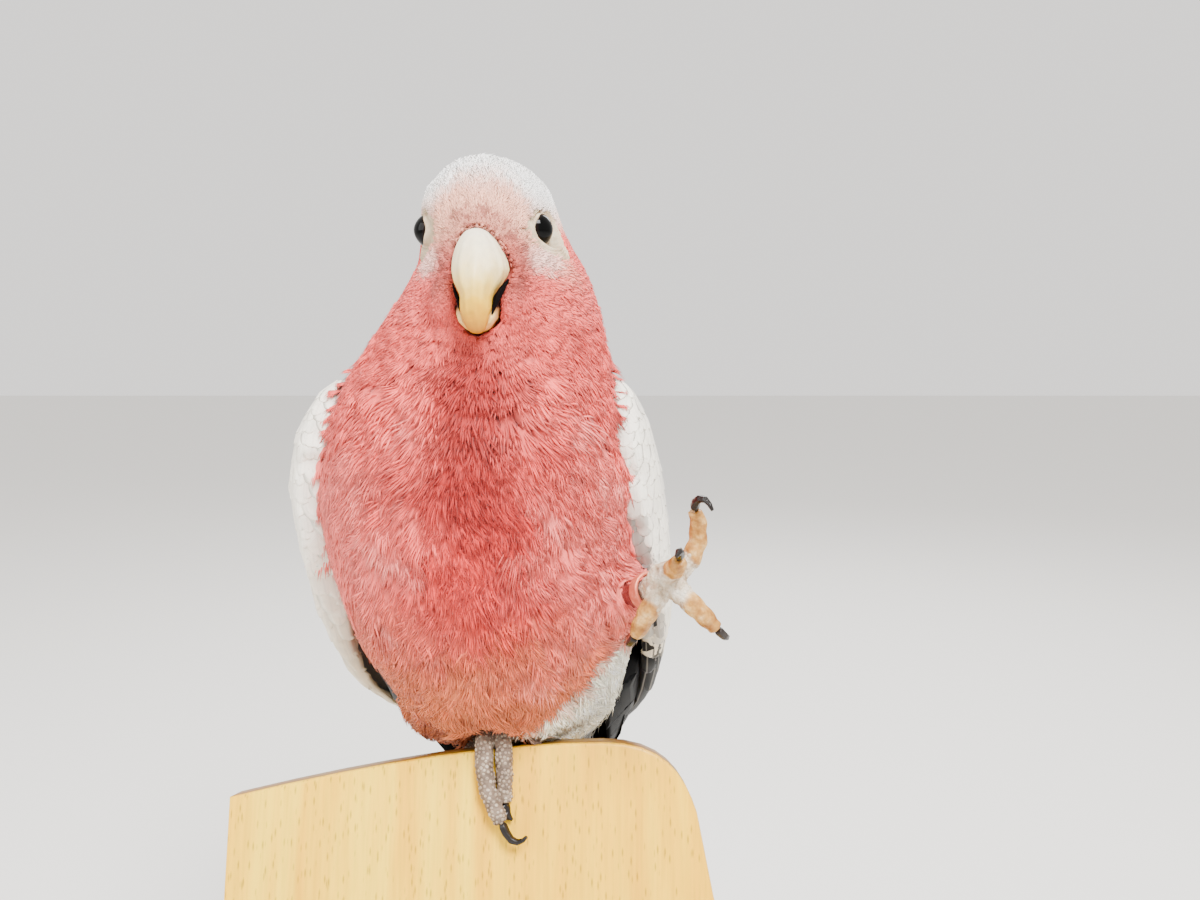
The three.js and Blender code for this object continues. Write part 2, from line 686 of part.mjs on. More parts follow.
for (const [name, side] of Object.entries(sides)) {
  const eye = named(`eye_${name}`, eyeball(), 'iris');
  eye.position.copy(eyeCentre(side));
  bird.add(eye);

  bird.add(named(`wing_${name}`, blade(WING, side, WING_RINGS, WING_SLICES), 'grey'));
  const flight = solid(blade(PRIMARIES, side, FLIGHT_RINGS, FLIGHT_SLICES))
    .subtract(solid(blade(WING, side, WING_RINGS, WING_SLICES, GAP)))
    .subtract(solid(tail(GAP)));
  bird.add(named(`primaries_${name}`, geometryOf(largest(flight)), 'dark'));

  const thigh = solid(limb(thighRows[name], THIGH_RINGS, THIGH_SIDES))
    .subtract(name === 'left' ? solid(limb(SHANK_LEFT, SHANK_RINGS, SHANK_SIDES, GAP)) : footRoom)
    .subtract(solid(blade(WING, side, WING_RINGS, WING_SLICES, GAP)))
    .subtract(perchRoom);
  bird.add(named(`thigh_${name}`, geometryOf(largest(thigh)), 'pink'));

  let leg = legs[name];
  const claws = name === 'left' ? CLAWS_LEFT : CLAWS_RIGHT;
  for (const [digit, rows] of Object.entries(claws)) {
    leg = leg.subtract(solid(claw(rows, GAP)));
    const horn = solid(claw(rows)).subtract(perchRoom);
    bird.add(named(`claw_${name}_${digit}`, geometryOf(largest(horn)), 'claw'));
  }
  bird.add(named(`leg_${name}`, geometryOf(largest(leg)), name === 'left' ? 'sole' : 'scale'));
}

bird.add(named('tail', tail(), 'dark'));

// Open leg band that rides loosely on the raised shank.
const bandProfile = [
  new THREE.Vector2(RING_RADIUS - RING_WALL, -RING_HEIGHT / 2),
  new THREE.Vector2(RING_RADIUS, -RING_HEIGHT / 2),
  new THREE.Vector2(RING_RADIUS, RING_HEIGHT / 2),
  new THREE.Vector2(RING_RADIUS - RING_WALL, RING_HEIGHT / 2),
  new THREE.Vector2(RING_RADIUS - RING_WALL, -RING_HEIGHT / 2),
];
const band = named('leg_ring', new THREE.LatheGeometry(bandProfile, 14), 'band');
const shankFrom = new THREE.Vector3(...SHANK_LEFT[1].slice(0, 3));
const shankTo = new THREE.Vector3(...SHANK_LEFT[3].slice(0, 3));
band.position.set(...SHANK_LEFT[2].slice(0, 3));
band.quaternion.setFromUnitVectors(
  new THREE.Vector3(0, 1, 0),
  shankTo.clone().sub(shankFrom).normalize(),
);
bird.add(band);

bird.add(named('stand_perch', geometryOf(perch), 'wood'));

const group = new THREE.Group();
group.add(bird);
group.add(named('stand_base', base(), 'plate'));

const rodTop = GRIP_HEIGHT + BOARD_BOTTOM - GAP;
const rodBottom = BASE_THICKNESS + GAP;
const rodY = GRIP_Y + BOARD_BOTTOM * Math.tan(BOARD_LEAN * DEG);
ROD_X.forEach((x, index) => {
  const shaft = new THREE.CylinderGeometry(ROD_RADIUS, ROD_RADIUS, rodTop - rodBottom, 16);
  const rod = named(`stand_rod_${index + 1}`, shaft, 'steel');
  rod.rotation.x = Math.PI / 2;
  rod.position.set(x, rodY, (rodTop + rodBottom) / 2);
  group.add(rod);
});

export default group;
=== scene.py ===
# %% [markdown]
# # A life-size galah on a cut length of board
# A galah is a plump pink and grey cockatoo. This lesson dresses a measured CAD model of one with skin,
# feathers, scaly feet, a horn bill and wet eyes. The CAD model gives every size and place. Blender adds
# only what the eye needs on top of it, so the first step loads that model.

# %% Load the measured model
import math

import bmesh
import bpy
import numpy as np
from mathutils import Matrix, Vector
from mathutils.bvhtree import BVHTree


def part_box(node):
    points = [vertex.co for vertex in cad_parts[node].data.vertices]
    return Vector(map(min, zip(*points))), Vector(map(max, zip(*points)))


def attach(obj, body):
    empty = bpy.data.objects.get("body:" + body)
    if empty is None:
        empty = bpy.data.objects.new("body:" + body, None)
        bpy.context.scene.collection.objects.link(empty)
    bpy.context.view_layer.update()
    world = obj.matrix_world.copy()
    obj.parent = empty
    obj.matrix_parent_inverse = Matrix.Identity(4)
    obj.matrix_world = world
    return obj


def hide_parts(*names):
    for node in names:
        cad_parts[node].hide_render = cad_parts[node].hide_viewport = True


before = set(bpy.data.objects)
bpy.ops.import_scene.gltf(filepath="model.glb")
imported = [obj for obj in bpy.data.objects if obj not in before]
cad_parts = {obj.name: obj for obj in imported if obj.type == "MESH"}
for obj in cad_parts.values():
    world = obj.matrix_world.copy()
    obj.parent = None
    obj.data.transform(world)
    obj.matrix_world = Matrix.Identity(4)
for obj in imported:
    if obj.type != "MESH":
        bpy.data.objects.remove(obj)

MM = 0.001
GRIP_EDGE = np.array([0.0, -20.0, 170.0])
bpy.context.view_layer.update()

# %% [markdown]
# ## Camera first
# A camera held at the height of the bird's neck, close and slightly wide, makes the
# head look small and the breast full. That is how a tame bird is met across a chair
# back, so the camera stands close, with a 30 mm lens, and looks a little down.

# %% Camera
CAMERA_PLACE = (0.033, -0.312, 0.2855)
CAMERA_DIP = 5.7
CAMERA_LENS = 30

camera_data = bpy.data.cameras.new("neck_height_camera")
camera_data.lens = CAMERA_LENS
camera_data.clip_start = 0.01
camera = bpy.data.objects.new("neck_height_camera", camera_data)
camera.location = CAMERA_PLACE
camera.rotation_euler = (math.radians(90 - CAMERA_DIP), 0, 0)
bpy.context.scene.collection.objects.link(camera)
bpy.context.scene.camera = camera
print("camera at", CAMERA_PLACE, "with a lens of", CAMERA_LENS, "mm")

# %% [markdown]
# ## Helpers for colours and nodes
# Paint colours are easiest to read as hex values, but a renderer adds up light, so
# one function turns them to linear values. Another function adds a node with its
# settings and links, and it serves shader trees and geometry trees alike. Each
# material is then a function that builds its surface from such nodes.

# %% Colour and node helpers
def linear(hex_colour, alpha=1.0):
    """The linear RGBA of an sRGB hex colour."""
    channels = [int(hex_colour[i:i + 2], 16) / 255 for i in (1, 3, 5)]
    light = [c / 12.92 if c <= 0.04045 else ((c + 0.055) / 1.055) ** 2.4 for c in channels]
    return (*light, alpha)


def rgb(hex_colour):
    """The linear RGB of an sRGB hex colour, as an array."""
    return np.array(linear(hex_colour)[:3])


def add_node(tree, kind, inputs=None, stops=None, **settings):
    """Adds a node. An input is a value, an output socket, or a node's first output."""
    made = tree.nodes.new(kind)
    for name, value in settings.items():
        setattr(made, name, value)
    for key, value in (inputs or {}).items():
        if isinstance(value, bpy.types.Node):
            value = value.outputs[0]
        if isinstance(value, bpy.types.NodeSocket):
            tree.links.new(value, made.inputs[key])
        else:
            made.inputs[key].default_value = value
    if stops:
        ramp = made.color_ramp
        while len(ramp.elements) < len(stops):
            ramp.elements.new(1.0)
        for element, (place, colour) in zip(ramp.elements, stops):
            element.position = place
            element.color = linear(colour) if isinstance(colour, str) else colour
    return made


def new_material(name, build, *choices):
    """A material whose surface shader a function builds, given its tree and place."""
    material = bpy.data.materials.new(name)
    material.use_nodes = True
    tree = material.node_tree
    tree.nodes.clear()
    place = add_node(tree, "ShaderNodeTexCoord").outputs["Object"]
    surface = build(tree, place, *choices)
    add_node(tree, "ShaderNodeOutputMaterial", {"Surface": surface})
    return material


# %% [markdown]
# ## Helpers for meshes
# Feathers come in thousands, so they are built as arrays of points and triangles and
# turned into one mesh at a time. The same helpers copy the CAD solids' points, which
# are merged first, because a CAD mesh is loose triangles.

# %% Mesh helpers
MERGE_GAP = 0.001  # mm within which two CAD points count as one


def mesh_object(name, points, faces, smooth=True):
    """An object from an array of points in metres and an array of equal faces."""
    points = np.ascontiguousarray(points, np.float32)
    faces = np.ascontiguousarray(faces, np.int32)
    mesh = bpy.data.meshes.new(name)
    mesh.vertices.add(len(points))
    mesh.vertices.foreach_set("co", points.ravel())
    mesh.loops.add(faces.size)
    mesh.loops.foreach_set("vertex_index", faces.ravel())
    mesh.polygons.add(len(faces))
    mesh.polygons.foreach_set("loop_start", np.arange(0, faces.size, faces.shape[1]))
    mesh.polygons.foreach_set("use_smooth", np.full(len(faces), smooth))
    mesh.update(calc_edges=True)
    obj = bpy.data.objects.new(name, mesh)
    bpy.context.scene.collection.objects.link(obj)
    return obj


def points_of(mesh):
    """The mesh's points as an array."""
    points = np.empty(len(mesh.vertices) * 3, np.float32)
    mesh.vertices.foreach_get("co", points)
    return points.reshape(-1, 3).astype(float)


def triangles_of(mesh):
    """The mesh's triangles as an array of point numbers."""
    mesh.calc_loop_triangles()
    corners = np.empty(len(mesh.loop_triangles) * 3, np.int32)
    mesh.loop_triangles.foreach_get("vertices", corners)
    return corners.reshape(-1, 3)


def point_normals(mesh):
    """The smooth normal at each point of the mesh."""
    normals = np.empty(len(mesh.vertices) * 3, np.float32)
    mesh.vertex_normals.foreach_get("vector", normals)
    return normals.reshape(-1, 3).astype(float)


def move_points(obj, points):
    """Gives the object's mesh new places for its points."""
    obj.data.vertices.foreach_set("co", points.astype(np.float32).ravel())
    obj.data.update()


def point_value(obj, name, values):
    """Stores one value for each point of the mesh, for a material to read."""
    stored = obj.data.attributes.new(name, "FLOAT", "POINT")
    stored.data.foreach_set("value", values.astype(np.float32))


def loop_faces(rows, sides):
    """Four-sided faces over rows of points that close both ways, like a tyre."""
    faces = []
    for row in range(rows):
        here = row * sides
        there = ((row + 1) % rows) * sides
        for k in range(sides):
            after = (k + 1) % sides
            faces.append((here + k, here + after, there + after, there + k))
    return np.array(faces)


def solids_copy(name, nodes):
    """One object with merged copies of some CAD solids."""
    parts = []
    corners = []
    start = 0
    for node in nodes:
        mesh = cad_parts[node].data
        points = points_of(mesh)
        rounded_off = np.round(points / (MERGE_GAP * MM)).astype(np.int64)
        _, first, number = np.unique(rounded_off, axis=0, return_index=True, return_inverse=True)
        parts.append(points[first])
        corners.append(number.reshape(-1)[triangles_of(mesh)] + start)
        start += len(first)
    return mesh_object(name, np.concatenate(parts), np.concatenate(corners))


def settle(obj):
    """Applies the object's modifiers and leaves a plain mesh."""
    evaluated = obj.evaluated_get(bpy.context.evaluated_depsgraph_get())
    finished = bpy.data.meshes.new_from_object(evaluated)
    obj.modifiers.clear()
    old = obj.data
    obj.data = finished
    bpy.data.meshes.remove(old)
    return obj


def fused(name, nodes, voxel, rounds):
    """CAD solids melted into one closed smooth skin, with a voxel size in mm."""
    obj = solids_copy(name, nodes)
    melt = obj.modifiers.new("melt", "REMESH")
    melt.mode = "VOXEL"
    melt.voxel_size = voxel * MM
    melt.use_smooth_shade = True
    soften = obj.modifiers.new("soften", "SMOOTH")
    soften.factor = 0.5
    soften.iterations = rounds
    return settle(obj)


def unit(vectors):
    """The vectors at length one."""
    return vectors / np.maximum(np.linalg.norm(vectors, axis=-1, keepdims=True), 1e-12)


def step(low, high, value):
    """A smooth step from 0 at low to 1 at high."""
    t = np.clip((np.asarray(value, float) - low) / (high - low), 0.0, 1.0)
    return t * t * (3 - 2 * t)


# %% [markdown]
# ## The body's outer form
# The CAD solids of head, neck, trunk, thighs and wings give the outline to the tips
# of the feathers. Melting them into one smooth form gives feathers something to lie
# along. A surface tree answers where the nearest point of it is.

# %% Outer form of the body
FLESH = ["head", "neck", "trunk", "thigh_left", "thigh_right", "wing_left", "wing_right"]
FORM_VOXEL = 1.4  # mm
FORM_ROUNDS = 5


class Surface:
    """A mesh as arrays with a search tree, for laying feathers along it."""

    def __init__(self, mesh):
        self.points = points_of(mesh)
        self.triangles = triangles_of(mesh)
        self.normals = unit(point_normals(mesh))
        self.tree = BVHTree.FromPolygons(self.points.tolist(), self.triangles.tolist())
        corners = self.points[self.triangles]
        cross = np.cross(corners[:, 1] - corners[:, 0], corners[:, 2] - corners[:, 0])
        self.areas = np.linalg.norm(cross, axis=1) / 2
        self.face_normals = unit(self.normals[self.triangles].mean(axis=1))

    def nearest(self, places):
        """Nearest points of the surface, their smooth normals and the distances."""
        found = [self.tree.find_nearest(place) for place in places.tolist()]
        spots = np.array([hit[0] for hit in found])
        return spots, self.face_normals[[hit[2] for hit in found]], np.array([hit[3] for hit in found])

    def facing(self, origins, directions):
        """Points hit by rays, with their normals, and a mask of the rays that hit."""
        found = [self.tree.ray_cast(o, d) for o, d in zip(origins.tolist(), directions.tolist())]
        hit = np.array([one[0] is not None for one in found])
        spots = np.array([one[0] if one[0] is not None else (0, 0, 0) for one in found])
        faces = [one[2] if one[2] is not None else 0 for one in found]
        return spots, self.face_normals[faces], hit


form_object = fused("outer_form", FLESH, FORM_VOXEL, FORM_ROUNDS)
form = Surface(form_object.data)
print("outer form:", len(form.triangles), "triangles")

# %% [markdown]
# ## The galah's markings
# One function answers the plumage colour at any place of the bird: white crown, pale
# forehead, dark rosy feathers at the bill's root, rosy cheeks and breast, a warmer
# belly, a cream flank behind the legs, and silver grey on back and rump. Skin and soft
# feathers both ask it, so the markings always agree. The wings' colours come later.

# %% Markings
PLUMAGE = {
    "crown": "#fbf8f4",
    "forehead": "#f8b59a",
    "root of the bill": "#b8574c",
    "bristle": "#7a2f28",
    "pale cheek": "#f8cdbf",
    # Painted shade: the throat's deep red stands for the shade under the bill.
    "throat shade": "#a02522",
    "neck": "#f0625b",
    "breast": "#d93d39",
    "breast side": "#ff8379",
    "pale tuft": "#ff9c92",
    "belly": "#d8744d",
    "low belly": "#c67242",
    "cream flank": "#fffae6",
    "vent": "#d9d2c6",
    "nape": "#e58681",
    "mantle": "#a3a3a3",
    "rump": "#c6c5c3",
}
# The cream flank begins past the line x = FLANK_SLOPE * z + FLANK_EDGE, in mm.
FLANK_SLOPE = 0.95
FLANK_EDGE = 4.0
WOBBLE_SIZE = 9.0  # mm across the soft patches that waver each border


def bird_place(points):
    """Points in mm from the gripped edge, with +X at the bird's left."""
    return points / MM - GRIP_EDGE


def paint(base, name, amount):
    """Lays a named colour over a colour by an amount from 0 to 1."""
    return base + (rgb(PLUMAGE[name]) - base) * np.asarray(amount)[:, None]


def near(spot, centre, radii):
    """1 at a centre and 0 outside an oval round it."""
    apart = (spot - np.array(centre)) / np.array(radii)
    return 1 - step(0.35, 1.0, np.linalg.norm(apart, axis=1))


def patches(spot, size):
    """Soft irregular patches from -1 to 1, about one size in mm across."""
    x, y, z = (spot / size).T
    first = np.sin(x * 2.1 + 1.7 * np.sin(y * 1.3 + z * 0.9)) * np.cos(z * 1.9 + x * 0.6)
    second = np.sin(y * 2.6 - z * 1.4 + 2.0 * np.sin(x * 0.8))
    return 0.6 * first + 0.4 * second


def breast_colour(spot, wobble):
    """Rosy breast, paler at its sides, with a warm belly, painted shade under the bill and pale tufts.
    """
    x, y, z = spot.T
    depth = np.hypot(x, 0.25 * (y + 20))
    colour = np.tile(rgb(PLUMAGE["breast"]), (len(spot), 1))
    colour = paint(colour, "breast side", 0.8 * step(4, 34, depth + 7 * wobble))
    colour = paint(colour, "belly", step(60, 20, z + 6 * wobble))
    colour = paint(colour, "low belly", 0.8 * step(26, -4, z + 3 * wobble))
    colour = paint(colour, "neck", step(84, 104, z + 4 * wobble))
    # Painted shade: a deep red under the bill, fading down the middle of the breast.
    colour = paint(colour, "throat shade", 0.85 * near(spot, (0, -26, 108), (13, 26, 18)))
    colour = paint(colour, "throat shade", 0.70 * near(spot, (0, -38, 88), (12, 26, 22)))
    tufts = step(0.15, 0.8, patches(spot + 31.0, 7.5)) * step(118, 96, z) * step(8, 16, depth)
    return paint(colour, "pale tuft", 0.35 * tufts)


def head_colour(colour, spot, wobble):
    """Nape, forehead, cheeks, bill's root and white crown, laid over a colour."""
    x, y, z = spot.T
    colour = paint(colour, "nape", step(8, 26, y) * step(92, 112, z))
    front = step(-5, -15, y)
    forehead = step(138, 149, z + 0.25 * np.abs(x) + 1.5 * wobble) * front
    forehead = forehead + step(147, 152, z + wobble) * (1 - front)
    colour = paint(colour, "forehead", forehead)
    for side in (-1, 1):
        cheek = near(spot, (side * 14.5, -14, 140), (8.5, 10, 4.8))
        colour = paint(colour, "pale cheek", 0.8 * cheek)
        root = near(spot, (side * 8.5, -22, 138), (6.5, 12, 12))
        colour = paint(colour, "root of the bill", 0.85 * root)
    over_bill = near(spot, (0.3, -22, 148), (12, 12, 5.0))
    colour = paint(colour, "root of the bill", 0.45 * over_bill)
    crown_line = 152 + 8 * step(14, -24, y) * (1 - step(4, 15, np.abs(x)))
    colour = paint(colour, "crown", step(-5, 8, z - crown_line + 2 * wobble))
    return paint(colour, "crown", step(6, 16, y) * step(140, 147, z))


def rear_colour(colour, spot, wobble):
    """Cream flank, vent, grey mantle and paler rump, laid over a colour."""
    x, y, z = spot.T
    past_line = x - FLANK_SLOPE * z - FLANK_EDGE + 2 * wobble
    flank = step(-3, 3, past_line) * step(38, 26, z) * step(64, 50, y)
    colour = paint(colour, "cream flank", flank)
    colour = paint(colour, "vent", step(72, 84, y + 3 * wobble) * step(30, 0, z))
    behind = y + 0.10 * (z - 60) - 0.55 * np.abs(x) + 12 + 2 * wobble
    back = step(12, 30, behind) * step(107, 84, z + 3 * wobble)
    colour = paint(colour, "mantle", back * step(-20, 5, y - 0.7 * (60 - z) + 22))
    return paint(colour, "rump", back * step(46, 12, z) * 0.7)


def markings(points):
    """Linear plumage colour at each point."""
    spot = bird_place(points)
    wobble = patches(spot, WOBBLE_SIZE)
    colour = breast_colour(spot, wobble)
    colour = head_colour(colour, spot, wobble)
    return rear_colour(colour, spot, wobble)


print("markings:", len(PLUMAGE), "colours")

# %% [markdown]
# ## Solids to measure against
# Some choices ask how far a place is from the bill, from a leg or from a wing. Each of
# these gets its own search tree from its CAD solids, and the scratch copy of them is
# removed at once.

# %% Measuring surfaces
def measuring(name, nodes):
    """A search surface from CAD solids, with its scratch object removed."""
    scratch = solids_copy(name, nodes)
    surface = Surface(scratch.data)
    mesh = scratch.data
    bpy.data.objects.remove(scratch)
    bpy.data.meshes.remove(mesh)
    return surface


SIDES = ("left", "right")
body_surface = measuring("body_solids", FLESH[:5])
wing_surface = {side: measuring(f"wing_{side}_solid", [f"wing_{side}"]) for side in SIDES}
bill_surface = measuring("bill_solids", ["bill_upper", "bill_lower"])
leg_surface = measuring("leg_solids", ["leg_left", "leg_right"])
print("surfaces to measure:", 3 + len(wing_surface))


def wing_distance(points):
    """Distance in metres from each point to the nearer folded wing."""
    return np.min([surface.nearest(points)[2] for surface in wing_surface.values()], axis=0)


def towards_wing(points):
    """Direction and distance in mm from each point to the nearer folded wing."""
    found = [surface.nearest(points) for surface in wing_surface.values()]
    gaps = np.array([gap for _, _, gap in found])
    nearer = gaps.argmin(axis=0)
    spots = np.array([spot for spot, _, _ in found])[nearer, np.arange(len(points))]
    return unit(spots - points), gaps.min(axis=0) / MM


# %% [markdown]
# ## Where the eyes are and which way they face
# A galah's eyes look out sideways and a little forwards. Each is kept as a centre, a
# radius and the way that it faces. The bird's head is turned a little to its right,
# so the left eye faces more to the front than the right one.

# %% Eyes as measures
EYE_TURNS = {"left": 62, "right": 71}  # degrees out from straight ahead
UP = np.array([0.0, 0.0, 1.0])
eyes = {}
for side, sign in (("left", 1), ("right", -1)):
    low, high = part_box(f"eye_{side}")
    turn = math.radians(EYE_TURNS[side])
    axis = np.array([sign * math.sin(turn), -math.cos(turn), 0.0])
    eyes[side] = {
        "centre": np.array((low + high) / 2),
        "radius": (high.z - low.z) / 2,
        "axis": axis,
        "forward": sign * np.cross(axis, UP),
    }
print("eyeball radius", round(eyes["left"]["radius"] / MM, 2), "mm")

# %% [markdown]
# ## Lie of the feathers
# Feathers point away from the bill over the head, then down and outwards over the
# breast, and back along the belly towards the tail. A direction is given for any
# place, and each feather walks along the form in short steps, asking again at each,
# so that it hugs the body and follows the lie of its neighbours. Beside a folded wing
# the feathers hang straight down, which keeps the wing's edge clean.

# %% Lie of the feathers
BILL_ROOT = np.array([0.6, -17.0, 139.0])
SWAY = 0.32
SIDEWAYS_LOSS = np.array([0.9, 0.0, 0.0])  # share of each direction lost beside a wing


def lie(points, normals):
    """Direction of the plumage along the surface at each point."""
    spot = bird_place(points)
    x, y, z = spot.T
    from_bill = unit(spot - BILL_ROOT)
    outward = (0.016 + 0.014 * step(55, 95, z)) * x
    down = np.stack([outward, 0.12 + 0.010 * np.clip(70 - z, 0, 90), -np.ones_like(z)], 1)
    back = np.stack([0.0 * x, np.full_like(y, 0.45), -np.ones_like(y)], 1)
    body = down + (back - down) * step(10, 30, y)[:, None]
    mix = step(98, 132, z)
    way = body + (1.6 * from_bill - body) * mix[:, None]
    _, wing_gap = towards_wing(points)
    beside_wing = step(10, 3, wing_gap) * step(14, -6, y) * step(118, 108, z)
    way = unit(way) * (1 - beside_wing[:, None] * SIDEWAYS_LOSS)
    way = unit(way - normals * np.sum(way * normals, axis=1, keepdims=True))
    across = np.cross(normals, way)
    swing = patches(spot, 11.0) + 0.6 * patches(spot[:, [1, 2, 0]], 4.5)
    swing = SWAY * swing * (1 - 0.65 * mix) * (1 - 0.6 * step(10, 30, y))
    swing = swing * (1 - 0.7 * beside_wing)
    return unit(way + across * swing[:, None])


def walk(roots, normals, lengths, way, steps=4, surface=form):
    """Spines of feathers: points, directions and normals at each step."""
    spines = [roots]
    out = [normals]
    ahead = [unit(way(roots, normals))]
    for _ in range(steps):
        reach = spines[-1] + ahead[-1] * (lengths / steps)[:, None]
        spot, normal, _ = surface.nearest(reach)
        normal = unit(0.5 * normal + 0.5 * out[-1])
        onward = unit(0.65 * unit(way(spot, normal)) + 0.35 * ahead[-1])
        onward = unit(onward - normal * np.sum(onward * normal, axis=1, keepdims=True))
        spines.append(spot)
        out.append(normal)
        ahead.append(onward)
    return np.stack(spines, 1), np.stack(ahead, 1), np.stack(out, 1)


# %% [markdown]
# ## Two feather patterns
# A breast feather is a fan of barbs that part into fine locks, so its pattern is a
# set of thin three-sided spikes over a low web. A covert is a smooth rounded vane
# with a raised quill. Both patterns are written in feather terms: how far along,
# how far across, and how high above the body. They are bent onto the spines later.

# %% Feather patterns
# How far along a soft feather's web each row is, and the web's half width there.
WEB_ROWS = [(0.0, 0.22), (0.18, 0.66), (0.38, 0.95), (0.56, 0.90), (0.68, 0.45)]


WEB_COLUMNS = 4
FURTHEST = 1.12  # share of a spine's length that a ragged tip may reach


def web_faces(rows, columns):
    """Triangles over a grid of points, with a flat underside that closes it."""
    faces = []
    for row in range(rows - 1):
        left = row * columns
        right = left + columns - 1
        for a in range(left, right):
            faces += [(a, a + 1, a + columns + 1), (a, a + columns + 1, a + columns)]
        faces += [(left, right + columns, right), (left, left + columns, right + columns)]
    last = (rows - 1) * columns
    for j in range(1, columns - 1):
        faces += [(0, j + 1, j), (last, last + j, last + j + 1)]
    return faces


def barbed_pattern(random, locks, fine):
    """Loose locks over a low soft web: along 0..1, across -1..1, height 0..1."""
    rows, halves = np.array(WEB_ROWS).T
    points = []
    for along, half in zip(rows, halves):
        for v in np.linspace(-1, 1, WEB_COLUMNS):
            points.append((along, v * half, 0.38 - 0.45 * v * v))
    faces = web_faces(len(rows), WEB_COLUMNS)
    tints = [0.95] * len(points)
    for angle in np.linspace(-1, 1, locks):
        angle = angle + random.uniform(-0.8, 0.8) / locks
        start = random.uniform(0.16, 0.48)
        at_start = angle * np.interp(start, rows, halves) * 0.6
        end = (0.60 + 0.40 * math.cos(angle * 1.2)) * random.uniform(0.74, 1.16)
        at_end = angle * random.uniform(0.85, 1.35)
        middle = start + (end - start) * 0.55
        at_middle = at_start + (at_end - at_start) * random.uniform(0.4, 0.75)
        rise = random.uniform(0.65, 1.1)
        rings = [(start, at_start, 0.1, fine), (middle, at_middle, rise, fine)]
        first = len(points)
        for along, across, height, half in rings:
            points += [(along, across - half, height - 0.12), (along, across + half, height - 0.12)]
            points.append((along, across, height + 0.08))
        points.append((end, at_end, random.uniform(0.45, 1.25)))
        a, b, c, tip = first, first + 1, first + 2, first + 6
        for p, q in ((a, c), (c, b), (b, a)):
            faces += [(p, q, q + 3), (p, q + 3, p + 3)]
        faces += [(a + 3, c + 3, tip), (c + 3, b + 3, tip), (b + 3, a + 3, tip), (a, b, c)]
        tints += [random.uniform(0.82, 1.22)] * 7
    return np.array(points), np.array(faces), np.array(tints)


def vane_pattern(random, rows, columns, notch, roundness):
    """A smooth closed vane with a quill ridge and a slightly ragged edge."""
    along = np.sin(np.linspace(0, 1, rows) * math.pi / 2) ** 0.85
    across = np.linspace(-1, 1, columns)
    outline = np.sin(np.clip(along * 1.5 + 0.22, 0, 1) * math.pi / 2)
    outline = np.maximum(outline * np.sqrt(1 - along ** roundness), 0.03)
    points = []
    for u, half in zip(along, outline):
        for v in across:
            ragged = 1 + notch * random.uniform(-1, 1) * abs(v)
            height = 1.0 - 0.75 * v * v + 0.18 * max(0.0, 1 - abs(v) * 6)
            points.append((u - notch * random.uniform(0, 1) * (u > 0.7), v * half * ragged, height))
    return np.array(points), np.array(web_faces(rows, columns))


def bend(pattern, spines, ways, normals, widths, depths, rises, curls, sweeps=None):
    """Bends a pattern onto each spine. Returns points as (feathers, corners, 3)."""
    steps = spines.shape[1] - 1
    along = np.clip(pattern[:, 0], 0, FURTHEST) * steps
    low = np.clip(along.astype(int), 0, steps - 1)
    part = (along - low)[None, :, None]

    def between(rows):
        return rows[:, low] * (1 - part) + rows[:, low + 1] * part

    place = between(spines)
    way = unit(between(ways))
    normal = unit(between(normals))
    side = np.cross(way, normal)
    u = np.clip(pattern[:, 0], 0, 1)[None, :]
    sink = (1 - np.sqrt(np.clip(u / 0.45, 0, 1))) * depths[:, None]
    lift = pattern[None, :, 2] * rises[:, None] - sink - rises[:, None]
    lift = lift + curls[:, None] * u ** 2
    lift = lift - 0.10 * depths[:, None]
    across = pattern[None, :, 1] * widths[:, None]
    if sweeps is not None:
        across = across + sweeps[:, None] * u ** 2
    return place + side * across[..., None] + normal * lift[..., None]


# %% [markdown]
# ## Where the quills sit
# Quills are spread evenly but not in lines. Random places on the form are tried in
# turn and kept when no quill kept before is nearer than the spacing there, which
# grows from about half a millimetre beside the bill to 4 mm on the flanks.

# %% Spread the quills
TRIES = 9


def thin_out(places, gaps):
    """Numbers of the places to keep, so that none is too near one kept before it."""
    around = [(i, j, k) for i in (-1, 0, 1) for j in (-1, 0, 1) for k in (-1, 0, 1)]
    keys = np.floor(places / gaps.max()).astype(int)
    grid = {}
    kept = []
    for number, (key, spot, gap) in enumerate(zip(keys.tolist(), places.tolist(), gaps.tolist())):
        limit = gap * gap
        taken = any(
            (x - spot[0]) ** 2 + (y - spot[1]) ** 2 + (z - spot[2]) ** 2 < limit
            for i, j, k in around
            for x, y, z in grid.get((key[0] + i, key[1] + j, key[2] + k), ())
        )
        if not taken:
            grid.setdefault(tuple(key), []).append(spot)
            kept.append(number)
    return np.array(kept)


def scatter(surface, spacing, wanted, seed):
    """Evenly spread places on a surface, as points and normals."""
    random = np.random.default_rng(seed)
    centres = surface.points[surface.triangles].mean(axis=1)
    gap = spacing(centres)
    weight = np.where(wanted(centres), surface.areas / gap ** 2, 0)
    count = int(TRIES * weight.sum())
    chosen = random.choice(len(weight), count, p=weight / weight.sum())
    a, b = random.random((2, count))
    flip = a + b > 1
    a[flip], b[flip] = 1 - a[flip], 1 - b[flip]
    corners = surface.points[surface.triangles[chosen]]
    places = corners[:, 0] + a[:, None] * (corners[:, 1] - corners[:, 0])
    places = places + b[:, None] * (corners[:, 2] - corners[:, 0])
    kept = thin_out(places, gap[chosen])
    return places[kept], surface.face_normals[chosen[kept]]
